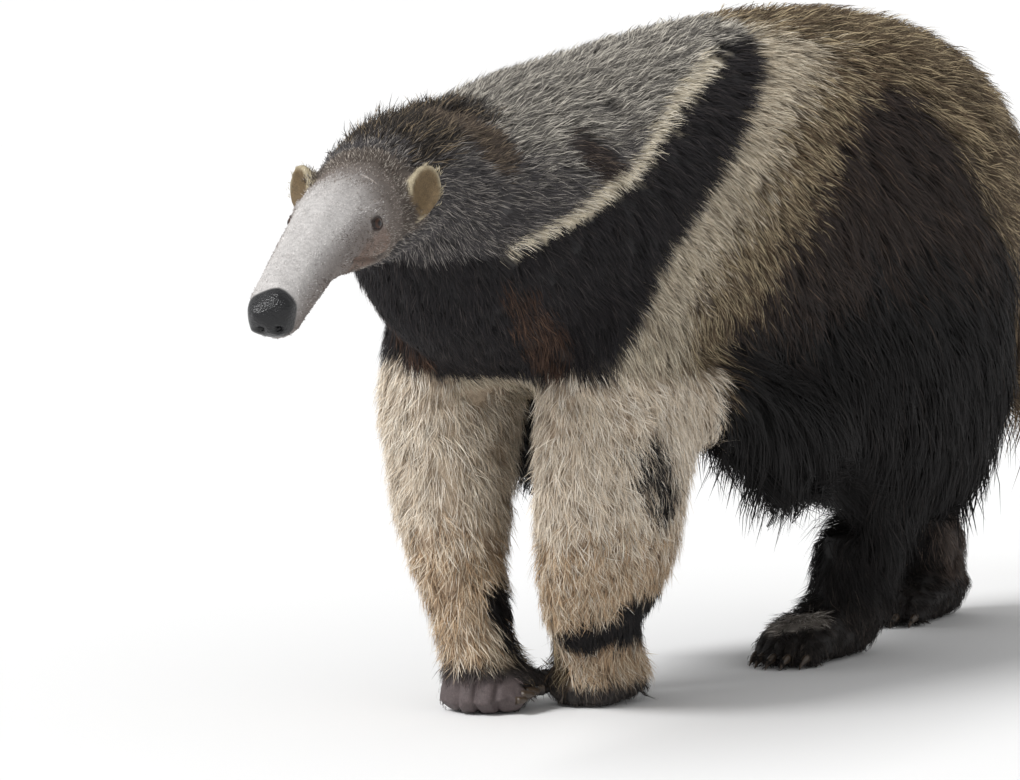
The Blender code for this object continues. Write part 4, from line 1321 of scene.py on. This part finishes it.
@dataclass
class Coat:
    """The hair over the skin, as thin tapering strands that lie the way the coat does."""

    skin: Skin
    seed: int = 11
    most_triangles: int = 158_000
    thinning: float = 0.87
    children: int = 12
    segments: dict = field(default_factory=lambda: {
        Region.HEAD: 2, Region.EAR: 2, Region.NECK: 2, Region.CHEST: 2, Region.BELLY: 3, Region.RUMP: 3,
        Region.TAIL: 5, Region.FORELEG: 2, Region.THIGH: 3, Region.HIND_LEG: 2,
    })
    flank_split: float = -0.330
    whole: tuple = (Region.HEAD, Region.NECK)
    sink: float = 0.0012
    patch: float = 0.003
    margin: float = 0.014
    length_draw: Span = (0.8, 1.2)
    lift_draw: Span = (0.75, 1.25)
    width_draw: Span = (0.7, 1.3)
    child_draw: Span = (0.65, 1.10)
    hanging: Span = (0.045, 0.090)
    droop: float = 0.55
    longest_step: float = 1.6
    crowding: float = 1.7
    widest_reach: float = 0.012
    sparsest: float = 10.0
    blur: float = 0.12
    most_blur: float = 0.003
    roll_deg: float = 24.0
    taper: float = 0.55
    tone_spread: float = 0.13
    least_height: float = 0.0012
    quick_share: float = 0.25
    room: tuple[np.ndarray, np.ndarray] = field(init=False)
    places: np.ndarray = field(init=False)
    normals: np.ndarray = field(init=False)
    corners: np.ndarray = field(init=False)
    vertex_rows: np.ndarray = field(init=False)
    face_areas: np.ndarray = field(init=False)
    face_middles: np.ndarray = field(init=False)
    face_regions: np.ndarray = field(init=False)
    face_density: np.ndarray = field(init=False)
    tree: BVHTree = field(init=False)

    def build(self) -> list[bpy.types.Object]:
        """Grow every piece of the coat.

        Returns:
            The pieces, from the head to the tail.
        """
        self.read_skin()
        low, high = (np.array(corner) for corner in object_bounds())
        low[2] = self.least_height
        self.room = low - np.array((self.margin, self.margin, 0.0)), high + self.margin
        material = HairFinish().material()
        pieces = []
        for name, region, faces, segments in self.plots():
            piece = self.grow(name, region, faces, segments)
            piece.data.materials.append(material)
            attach(piece, BODY)
            pieces.append(piece)
            LOG.info("%s: %d faces", name, len(piece.data.polygons))
        return pieces

    def plots(self) -> list[tuple[str, Region, np.ndarray, int]]:
        """Return the name, region, faces of skin and strand segments of each piece."""
        plots = []
        for number, region in enumerate(REGIONS):
            whole = self.face_regions == number
            segments = self.segments[region]
            if region in self.whole:
                plots.append((f"coat_{region.value}", region, np.flatnonzero(whole), segments))
                continue
            middle = HEAD.centre[0] if region is Region.EAR else 0.0
            aside = self.face_middles[:, 0] - middle
            for side, sign in (("left", 1), ("right", -1)):
                half = whole & (aside * sign >= 0.0)
                if region is Region.BELLY:
                    ahead = self.face_middles[:, 1] < self.flank_split
                    plots.append((f"coat_flank_{side}", region, np.flatnonzero(half & ahead), 2))
                    half &= ~ahead
                plots.append((f"coat_{region.value}_{side}", region, np.flatnonzero(half), segments))
        return plots

    def read_skin(self) -> None:
        """Gather the skin's triangles, normals and looks."""
        mesh = self.skin.piece.data
        mesh.calc_loop_triangles()
        self.places = vertex_places(mesh)
        self.normals = vertex_normals(mesh)
        corners = np.empty(len(mesh.loop_triangles) * 3, dtype=np.int32)
        mesh.loop_triangles.foreach_get("vertices", corners)
        self.corners = corners.reshape(-1, 3)
        first, second, third = (self.places[self.corners[:, corner]] for corner in range(3))
        self.face_areas = 0.5 * np.linalg.norm(np.cross(second - first, third - first), axis=1)
        self.face_middles = (first + second + third) / 3.0
        self.face_regions = self.skin.regions[self.corners[:, 0]]
        self.vertex_rows = MARKINGS.looks(self.places, self.skin.regions)
        density = self.vertex_rows[:, Column.DENSITY.value]
        self.face_density = density[self.corners].mean(axis=1) * PER_SQUARE_METRE
        bare = self.bare_vertices()
        self.face_density[bare[self.corners].any(axis=1)] = 0.0
        self.tree = BVHTree.FromPolygons(self.places.tolist(), self.corners.tolist())

    def bare_vertices(self) -> np.ndarray:
        """Return which vertices of the skin grow no hair: on soles, lids and the crease of the mouth."""
        local = HEAD.local(self.places)
        local[:, 1] = np.abs(local[:, 1])
        lids = np.linalg.norm(local - EYES[0].centre(), axis=1) < 0.0105
        head = self.skin.regions == REGIONS.index(Region.HEAD)
        lids |= head & (fold_gap(local, FACE_FOLDS[0].line) < 0.0035) & (local[:, 0] > 0.03)
        soles = (self.places[:, 2] < 0.004) & (self.normals[:, 2] < -0.5)
        return lids | soles

    def grow(self, name: str, region: Region, faces: np.ndarray, segments: int) -> bpy.types.Object:
        """Grow one piece of the coat on some faces of the skin.

        Args:
            name: Name of the piece.
            region: Length of the animal that it covers.
            faces: Faces of the skin that it grows on.
            segments: Lengths that a strand is divided into.

        Returns:
            The piece.
        """
        draws = np.random.default_rng(self.seed + sum(map(ord, name)))
        wanted = self.face_areas[faces] * self.face_density[faces]
        triangles = 2 * segments - 1
        share = min(self.thinning, self.most_triangles / (wanted.sum() * triangles))
        count = int(wanted.sum() * share / self.children)
        picked = faces[draws.choice(len(faces), size=count, p=wanted / wanted.sum())]
        guides = self.guides(picked, REGIONS.index(region), segments, draws)
        spread = 1.0 / math.sqrt(share)
        points, normals, rows = self.with_children(guides, spread, draws)
        return self.mesh_piece(name, region, points, normals, rows, spread, draws)

    def lie(self, points: np.ndarray, normals: np.ndarray, rows: np.ndarray, number: int) -> np.ndarray:
        """Return the direction that the hair lies in at each point, along the skin.

        Args:
            points: Places on the skin.
            normals: The skin's normals there.
            rows: Looks there.
            number: Number of the region.

        Returns:
            Unit directions.
        """
        region = REGIONS[number]
        slope = (along_curve(points[:, 1] + 0.05, MARKINGS.back_line)
                 - along_curve(points[:, 1] - 0.05, MARKINGS.back_line)) * 6.0
        body = unit(np.stack([np.zeros(len(points)), np.ones(len(points)), slope], axis=1))
        head = ramp(points[:, 1], -0.600, -0.800)[:, None]
        back = unit(body * (1.0 - head) - HEAD.axes()[0] * head)
        fall = np.radians(rows[:, Column.FALL.value])[:, None]
        flow = back * np.cos(fall) - UP * np.sin(fall)
        if region is Region.FORELEG:
            out = np.sign(points[:, :1]) * np.array((1.0, 0.0, 0.0))
            flow = -UP + 0.25 * body + 0.10 * out
        elif region is Region.HIND_LEG:
            flow = -UP + 0.20 * body
        elif region is Region.TAIL:
            side = ramp(np.abs(normals[:, 0]), 0.15, 0.75)[:, None]
            flow = body + side * np.array((0.0, 0.0, -0.75))
        elif region is Region.EAR:
            flow = HEAD.axes()[2] - 0.3 * HEAD.axes()[0]
        along = flow - normals * np.sum(flow * normals, axis=1, keepdims=True)
        return unit(along + 1e-6)

    def guides(self, faces: np.ndarray, number: int, segments: int, draws: np.random.Generator) -> Strands:
        """Return guides that start on some faces and follow the skin, or hang where long.

        Args:
            faces: Face of each guide's root.
            number: Number of the region.
            segments: Lengths that a guide is divided into.
            draws: Source of random numbers.

        Returns:
            The guides.
        """
        count = len(faces)
        share = draws.random((count, 2))
        share = np.where(share.sum(axis=1, keepdims=True) > 1.0, 1.0 - share, share)
        weights = np.stack([1.0 - share.sum(axis=1), share[:, 0], share[:, 1]], axis=1)[:, :, None]
        trio = self.corners[faces]
        root = (self.places[trio] * weights).sum(axis=1)
        normal = unit((self.normals[trio] * weights).sum(axis=1))
        rows = (self.vertex_rows[trio] * weights).sum(axis=1)
        length = rows[:, Column.LENGTH.value] * draws.uniform(*self.length_draw, count)
        lift = np.radians(rows[:, Column.LIFT.value]) * draws.uniform(*self.lift_draw, count)
        hang = ramp(rows[:, Column.LENGTH.value], *self.hanging)[:, None]
        turn = self.swirl(root) + np.radians(rows[:, Column.STRAY.value]) * draws.normal(size=count)
        step = (length / segments)[:, None]
        place = root - normal * self.sink
        points, normals = [place], [normal]
        flow = self.lie(root, normal, rows, number)
        flow = self.turned(flow, normal, turn)
        for index in range(1, segments + 1):
            rise = (length * np.sin(lift) * (1.0 - (1.0 - index / segments) ** 2))[:, None]
            free = place + unit(flow + normal * np.sin(lift)[:, None] * (1 - index / segments)
                                - UP * self.droop * hang * index / segments) * step
            near, near_normal = self.nearest(free)
            cling = near + near_normal * rise
            least = near + near_normal * 0.5 * rise
            height = np.sum((free - near) * near_normal, axis=1, keepdims=True)
            hung = np.where(height < 0.5 * rise, least, free)
            place = cling * (1.0 - hang) + hung * hang
            place[:, 2] = np.maximum(place[:, 2], 0.0018)
            normal = unit(near_normal * (1.0 - 0.5 * hang) + normal * 0.5 * hang)
            flow = place - points[-1]
            flow = unit(flow - normal * np.sum(flow * normal, axis=1, keepdims=True))
            points.append(place)
            normals.append(normal)
        points, normals = np.stack(points, axis=1), np.stack(normals, axis=1)
        steps = np.linalg.norm(np.diff(points, axis=1), axis=2).max(axis=1)
        smooth = steps < self.longest_step * step[:, 0] + 0.001
        return Strands(points[smooth], normals[smooth], rows[smooth], np.full(int(smooth.sum()), number))

    def swirl(self, points: np.ndarray) -> np.ndarray:
        """Return the slow turns of the coat's lie over the body, in radians."""
        x, y, z = points.T
        return 0.10 * np.sin(31.0 * y + 17.0 * z + 9.0 * x) + 0.07 * np.sin(73.0 * z - 41.0 * y + 23.0 * x)

    def turned(self, flow: np.ndarray, normal: np.ndarray, angle: np.ndarray) -> np.ndarray:
        """Return directions turned about the normals by angles."""
        side = np.cross(normal, flow)
        return flow * np.cos(angle)[:, None] + side * np.sin(angle)[:, None]

    def nearest(self, points: np.ndarray) -> tuple[np.ndarray, np.ndarray]:
        """Return the nearest places on the skin and its smooth normals there."""
        find = self.tree.find_nearest
        found = [find(point) for point in points.tolist()]
        near = np.array([hit[0] for hit in found])
        faces = np.array([hit[2] for hit in found])
        return near, unit(self.normals[self.corners[faces]].mean(axis=1))

    def with_children(
        self, guides: Strands, spread: float, draws: np.random.Generator
    ) -> tuple[np.ndarray, np.ndarray, np.ndarray]:
        """Return the strands round every guide, drawn together towards their tips.

        Args:
            guides: Guides of the piece.
            spread: How much wider apart the strands stand than the look says.
            draws: Source of random numbers.

        Returns:
            Points and normals of each strand, and its look.
        """
        count = len(guides.points)
        segments = guides.points.shape[1] - 1
        repeat = np.repeat(np.arange(count), self.children)
        total = len(repeat)
        rows = guides.rows[repeat]
        density = np.maximum(rows[:, Column.DENSITY.value], self.sparsest) * PER_SQUARE_METRE
        reach = self.crowding * spread * np.sqrt(self.children / (density * math.pi))
        reach = np.minimum(reach, self.widest_reach)
        angle = draws.uniform(0.0, math.tau, total)
        radius = reach * np.sqrt(draws.random(total))
        normal = guides.normals[repeat]
        start = guides.points[repeat, 0]
        run = guides.points[repeat] - start[:, None]
        ahead = unit(run[:, 1])
        side = unit(np.cross(normal[:, 0], ahead))
        ahead = np.cross(side, normal[:, 0])
        offset = ahead * (radius * np.cos(angle))[:, None] + side * (radius * np.sin(angle))[:, None]
        scale = draws.uniform(*self.child_draw, total)[:, None, None]
        share = (np.arange(segments + 1) / segments)[None, :, None]
        clump = rows[:, Column.CLUMP.value][:, None, None]
        stray = np.radians(rows[:, Column.STRAY.value]) * 0.8
        length = np.linalg.norm(run[:, -1], axis=1)
        jitter = side * (draws.normal(size=total) * stray * length)[:, None]
        jitter += normal[:, -1] * (draws.normal(size=total) * stray * length * 0.45)[:, None]
        points = (start[:, None] + offset[:, None] * (1.0 - clump * share)
                  + run * scale + jitter[:, None] * share)
        points = np.clip(points, *self.room)
        middle = 0.45 * points[:, 0] + 0.55 * points[:, -1]
        blur = (self.blur * rows[:, Column.LENGTH.value])[:, None].clip(0.0, self.most_blur)
        middle += draws.normal(size=middle.shape) * blur
        owner = np.repeat(guides.regions, self.children)
        chance = 0.5 * draws.random(count)[repeat] + 0.5 * draws.random(total)
        looked = MARKINGS.looks(middle, owner, np.clip(1.25 * (chance - 0.5) + 0.5, 0.1, 0.9))
        return points, normal, looked

    def mesh_piece(
        self, name: str, region: Region, points: np.ndarray, normals: np.ndarray,
        rows: np.ndarray, spread: float, draws: np.random.Generator,
    ) -> bpy.types.Object:
        """Return an object of tapering strands, coloured and with its bake map.

        Args:
            name: Name of the piece.
            region: Length of the animal that it covers.
            points: Points of each strand.
            normals: Normals of each strand.
            rows: Look of each strand.
            spread: How much wider the strands are than the look says.
            draws: Source of random numbers.

        Returns:
            The object.
        """
        total, levels = points.shape[:2]
        segments = levels - 1
        roll = draws.normal(0.0, math.radians(self.roll_deg), total)[:, None]
        along = unit(np.gradient(points, axis=1))
        side = unit(np.cross(along, normals))
        side = side * np.cos(roll)[:, :, None] + normals * np.sin(roll)[:, :, None]
        width = rows[:, Column.WIDTH.value] * spread * draws.uniform(*self.width_draw, total) * 0.5
        taper = 1.0 - self.taper * (np.arange(levels) / segments) ** 1.5
        half = side * (width[:, None] * taper)[:, :, None]
        pairs = np.stack([points - half, points + half], axis=2)[:, :-1]
        places = np.concatenate([pairs.reshape(total, -1, 3), points[:, -1:]], axis=1)
        per_strand = 2 * segments + 1
        faces = []
        for index in range(segments - 1):
            low = 2 * index
            faces += [(low, low + 1, low + 3), (low, low + 3, low + 2)]
        faces.append((2 * segments - 2, 2 * segments - 1, 2 * segments))
        corners = (np.arange(total)[:, None, None] * per_strand + np.array(faces)[None]).reshape(-1, 3)
        mesh = bpy.data.meshes.new(name)
        mesh.vertices.add(total * per_strand)
        mesh.vertices.foreach_set("co", places.astype(np.float32).ravel())
        mesh.loops.add(corners.size)
        mesh.loops.foreach_set("vertex_index", corners.astype(np.int32).ravel())
        mesh.polygons.add(len(corners))
        mesh.polygons.foreach_set("loop_start", np.arange(0, corners.size, 3, dtype=np.int32))
        mesh.update(calc_edges=True)
        paint(mesh, COLOUR_LAYER, self.strand_colours(rows, segments, draws))
        self.map_patches(mesh, region, points[:, 0], per_strand, corners)
        piece = bpy.data.objects.new(name, mesh)
        bpy.context.scene.collection.objects.link(piece)
        return piece

    def strand_colours(self, rows: np.ndarray, segments: int, draws: np.random.Generator) -> np.ndarray:
        """Return the colour of each vertex of each strand, from root to tip."""
        total = len(rows)
        pale = (draws.random(total) < rows[:, Column.FLECKED.value])[:, None]
        tip = np.where(pale, rows[:, Column.FLECK.value], rows[:, Column.TIP.value])
        tone = np.exp(draws.normal(0.0, self.tone_spread, total))[:, None]
        levels = []
        for index in range(segments + 1):
            share = min(1.0, 1.5 * index / segments) ** 0.8
            colour = (rows[:, Column.ROOT.value] * (1.0 - share) + tip * share) * tone
            levels += [colour] if index == segments else [colour, colour]
        return np.clip(np.stack(levels, axis=1).reshape(-1, 3), 0.0, 1.0)

    def map_patches(
        self, mesh: bpy.types.Mesh, region: Region, roots: np.ndarray, per_strand: int, corners: np.ndarray
    ) -> None:
        """Give each strand its small patch, at its root's place on the skin's unwrap."""
        upright = region in (Region.FORELEG, Region.THIGH, Region.HIND_LEG)
        run = roots[:, 2] if upright else roots[:, 1]
        if upright:
            around = np.arctan2(roots[:, 1] - np.median(roots[:, 1]), roots[:, 0] - np.median(roots[:, 0]))
        else:
            top = along_curve(roots[:, 1], MARKINGS.back_line)
            middle = np.interp(roots[:, 1], (-0.82, -0.58), (HEAD.centre[0], 0.0))
            around = np.arctan2(roots[:, 0] - middle, roots[:, 2] - (top - 0.12))
        if region is Region.HEAD:
            forward, left, up = HEAD.local(roots).T
            run, around = forward, np.arctan2(left, up + 0.006)
        elif region is Region.EAR:
            ear = EARS[0] if roots[:, 0].mean() > HEAD.centre[0] else EARS[1]
            across, behind, along = ear.local(roots).T
            run, around = along, np.arctan2(across, behind)
        spots = []
        for values in (run, around):
            low, high = values.min(), values.max()
            spots.append(0.004 + 0.992 * (values - low) / (high - low))
        spot = np.stack(spots, axis=1)
        levels = per_strand // 2
        shape = []
        for index in range(levels):
            climb = self.patch * (index / levels - 0.5)
            shape += [(-self.patch / 2, climb), (self.patch / 2, climb)]
        shape.append((0.0, self.patch / 2))
        flat = (spot[:, None] + np.array(shape)[None]).reshape(-1, 2)
        layer = mesh.uv_layers.new(name=BAKE_MAP)
        layer.data.foreach_set("uv", flat[corners.ravel()].astype(np.float32).ravel())


@dataclass
class Eyes:
    """Two wet eyeballs with a slight bulge over the iris."""

    pupil: float = 0.0021
    iris: float = 0.0043
    bulge: float = 0.0005
    pupil_colour: Colour = (6, 5, 5)
    iris_colour: Colour = (58, 35, 23)
    rim_colour: Colour = (20, 12, 10)
    white_colour: Colour = (40, 30, 27)

    def build(self) -> list[bpy.types.Object]:
        """Model both eyes and let them stand for the eye nodes."""
        material = EyeFinish().material()
        pieces = []
        for eye in EYES:
            deselect_all()
            centre = HEAD.world(eye.centre())
            bpy.ops.mesh.primitive_uv_sphere_add(
                segments=48, ring_count=32, radius=eye.radius, location=tuple(centre)
            )
            ball = bpy.context.view_layer.objects.active
            ball.name = f"eyeball_{eye.side}"
            bpy.ops.object.transform_apply(location=True, rotation=True, scale=True)
            bpy.ops.object.shade_smooth()
            self.dress(ball, eye, centre)
            ball.data.materials.append(material)
            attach(ball, BODY)
            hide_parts(f"eye_{eye.side}")
            pieces.append(ball)
            LOG.info("%s modelled", ball.name)
        return pieces

    def dress(self, ball: bpy.types.Object, eye: EyePlace, centre: np.ndarray) -> None:
        """Raise the clear bulge and paint pupil, iris, rim and white."""
        places = vertex_places(ball.data)
        gaze = eye.gaze() @ HEAD.axes()
        rel = places - centre
        aim = rel @ gaze
        aside = np.linalg.norm(rel - aim[:, None] * gaze, axis=1)
        front = aim > 0
        rise = self.bulge * ramp(aside, self.iris * 1.15, 0.0) * front
        place_vertices(ball.data, places + gaze * rise[:, None])
        colours = np.tile(linear(self.white_colour), (len(places), 1))
        for colour, edge in ((self.rim_colour, self.iris * 1.12), (self.iris_colour, self.iris),
                             (self.pupil_colour, self.pupil)):
            share = (ramp(aside, edge + 0.0002, edge - 0.0002) * front)[:, None]
            colours += share * (linear(colour) - colours)
        paint(ball.data, COLOUR_LAYER, colours)


@dataclass
class Claws:
    """The claws of all feet: folded in on the forefeet, short on the hind feet."""

    fore_places: tuple = (
        (-0.0040, 0.013, 0.65), (0.0080, 0.016, 0.85), (0.0215, 0.017, 0.95), (0.0340, 0.013, 0.45),
    )
    fore_length: float = 0.0264
    fore_radius: float = 0.0056
    fore_sink: float = 0.008
    fore_splay: float = 1.2
    hind_length: float = 0.020825
    hind_radius: float = 0.0036
    toe_fan: float = 0.018
    curl_deg: float = 60.0
    tip_share: float = 0.12
    swelling: float = 0.25
    depth_share: float = 1.25
    lowest: float = 0.0004

    def build(self) -> list[bpy.types.Object]:
        """Model the claws of each foot as one piece."""
        material = ClawFinish().material()
        pieces = []
        for paw in PAWS:
            claws = self.fore_claws(paw) if paw.inward else self.hind_claws(paw)
            deselect_all()
            for claw in claws:
                claw.select_set(True)
            bpy.context.view_layer.objects.active = claws[0]
            bpy.ops.object.join()
            piece = bpy.context.view_layer.objects.active
            piece.name = f"claws_{paw.name}"
            bpy.ops.object.transform_apply(location=True, rotation=True, scale=True)
            bpy.ops.object.shade_smooth()
            piece.data.materials.append(material)
            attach(piece, BODY)
            pieces.append(piece)
            LOG.info("%s modelled", piece.name)
        return pieces

    def claw(
        self, root: Vector, along: Vector, bend: Vector, length: float, radius: float
    ) -> bpy.types.Object:
        """Model one claw that curls from its root towards the bend direction."""
        deselect_all()
        bpy.ops.mesh.primitive_cone_add(
            vertices=14, radius1=radius, radius2=radius * self.tip_share, depth=length,
            location=(0.0, 0.0, length / 2),
        )
        claw = bpy.context.view_layer.objects.active
        bpy.ops.object.transform_apply(location=True, rotation=True, scale=True)
        bpy.ops.object.mode_set(mode="EDIT")
        bpy.ops.mesh.select_all(action="SELECT")
        bpy.ops.mesh.subdivide(number_cuts=5)
        bpy.ops.object.mode_set(mode="OBJECT")
        places = vertex_places(claw.data)
        curl = math.radians(self.curl_deg)
        turn = curl * np.clip(places[:, 2] / length, 0.0, 1.0)
        reach = length / curl
        sunk = np.minimum(places[:, 2], 0.0)
        ahead, inner = np.array(along), np.array(bend)
        side = np.cross(ahead, inner)
        swell = 1.0 + self.swelling * np.sin(math.pi * np.clip(places[:, 2] / length, 0.0, 1.0))
        line = np.sin(turn)[:, None] * ahead + (1.0 - np.cos(turn))[:, None] * inner
        across = np.cos(turn)[:, None] * inner - np.sin(turn)[:, None] * ahead
        shaped = (np.array(root) + line * reach + sunk[:, None] * ahead
                  + side * (places[:, :1] * swell[:, None])
                  + across * (places[:, 1:2] * self.depth_share * swell[:, None]))
        shaped[:, 2] = np.maximum(shaped[:, 2], self.lowest)
        place_vertices(claw.data, shaped)
        bpy.ops.object.mode_set(mode="EDIT")
        bpy.ops.mesh.select_all(action="SELECT")
        bpy.ops.mesh.normals_make_consistent(inside=False)
        bpy.ops.object.mode_set(mode="OBJECT")
        return claw

    def fore_claws(self, paw: Paw) -> list[bpy.types.Object]:
        """Model the long claws along the inner edge of a forefoot."""
        forward, side = paw.directions()
        inner = side * paw.inward
        edge = Vector((*paw.toes, 0.0)) + inner * (paw.half_width - self.fore_sink)
        along = (inner * self.fore_splay - forward).normalized()
        bend = (-forward - along * (-forward).dot(along)).normalized()
        claws = []
        for back, height, scale in self.fore_places:
            root = edge - forward * back + Vector((0.0, 0.0, height))
            claws.append(self.claw(root, along, bend, self.fore_length * scale, self.fore_radius * scale))
        return claws

    def hind_claws(self, paw: Paw) -> list[bpy.types.Object]:
        """Model the short claw of each toe of a hind foot."""
        forward, side = paw.directions()
        claws = []
        for number in range(paw.digits):
            share = 2.0 * number / (paw.digits - 1) - 1.0
            across = share * (paw.half_width - paw.digit_radius)
            root = (Vector((*paw.toes, 0.85 * paw.digit_radius)) + side * across
                    + forward * (paw.digit_radius - self.toe_fan * share * share))
            bend = Vector((0.0, 0.0, -1.0))
            claws.append(self.claw(root, forward, bend, self.hind_length, self.hind_radius))
        return claws


@dataclass
class Studio:
    """A plain pale floor, soft light and the camera at the photo's angle."""

    camera_place: Place = (2.0, -3.674, 0.517)
    camera_turn_deg: Place = (86.43, 0.0, 32.4)
    lens_mm: float = 152.47
    floor_size: float = 120.0
    floor_grey: float = 0.86
    sky: float = 0.60
    horizon: float = 1.02
    sun: float = 2.7
    sun_turn_deg: Place = (46.0, 0.0, -22.0)
    sun_spread_deg: float = 24.0
    horizon_band: Span = (0.16, 0.40)
    sensor_mm: float = 36.0

    def build(self) -> None:
        """Set up floor, world, light and camera."""
        self.add_floor()
        self.add_light()
        self.add_camera()

    def add_floor(self) -> None:
        """Lay a wide pale floor at the soles."""
        deselect_all()
        bpy.ops.mesh.primitive_plane_add(size=self.floor_size, location=(0.0, 0.0, 0.0))
        floor = bpy.context.view_layer.objects.active
        floor.name = "studio_floor"
        material, shader = new_material("studio_floor_finish")
        shader.inputs["Base Color"].default_value = (self.floor_grey,) * 3 + (1.0,)
        shader.inputs["Roughness"].default_value = 0.9
        shader.inputs["Specular IOR Level"].default_value = 0.1
        floor.data.materials.append(material)
        floor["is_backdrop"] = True

    def add_light(self) -> None:
        """Light the scene with a pale sky and one broad sun from the photo's upper left."""
        world = bpy.data.worlds.new("studio_sky")
        world.use_nodes = True
        back = world.node_tree.nodes["Background"]
        back.inputs["Color"].default_value = (1.0, 1.0, 1.0, 1.0)
        tree = world.node_tree
        aim = tree.nodes.new("ShaderNodeSeparateXYZ")
        tree.links.new(tree.nodes.new("ShaderNodeTexCoord").outputs["Generated"], aim.inputs["Vector"])
        grade = tree.nodes.new("ShaderNodeMapRange")
        tree.links.new(aim.outputs["Z"], grade.inputs["Value"])
        grade.inputs["From Min"].default_value, grade.inputs["From Max"].default_value = self.horizon_band
        grade.inputs["To Min"].default_value = self.horizon
        grade.inputs["To Max"].default_value = self.sky
        tree.links.new(grade.outputs["Result"], back.inputs["Strength"])
        bpy.context.scene.world = world
        deselect_all()
        bpy.ops.object.light_add(type="SUN", location=(0.0, -3.0, 4.0))
        sun = bpy.context.view_layer.objects.active
        sun.name = "studio_sun"
        sun.rotation_euler = [math.radians(angle) for angle in self.sun_turn_deg]
        sun.data.energy = self.sun
        sun.data.angle = math.radians(self.sun_spread_deg)

    def add_camera(self) -> None:
        """Place the camera where the photo was taken from."""
        deselect_all()
        bpy.ops.object.camera_add(location=self.camera_place)
        camera = bpy.context.view_layer.objects.active
        camera.name = "studio_camera"
        camera.rotation_euler = [math.radians(angle) for angle in self.camera_turn_deg]
        camera.data.lens = self.lens_mm
        camera.data.sensor_width = self.sensor_mm
        camera.data.clip_end = 500.0
        bpy.context.scene.camera = camera
        bpy.context.scene.view_settings.view_transform = "Standard"


def main() -> None:
    """Build the anteater over its frame and set up the studio."""
    logging.basicConfig(level=logging.INFO, format="%(name)s: %(message)s")
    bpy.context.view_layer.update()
    nodes = NodeRegions()
    skin = Skin()
    skin.build(nodes)
    LOG.info("skin: %d faces", len(skin.piece.data.polygons))
    Coat(skin).build()
    Eyes().build()
    Claws().build()
    Studio().build()


if __name__ == "__main__":
    main()
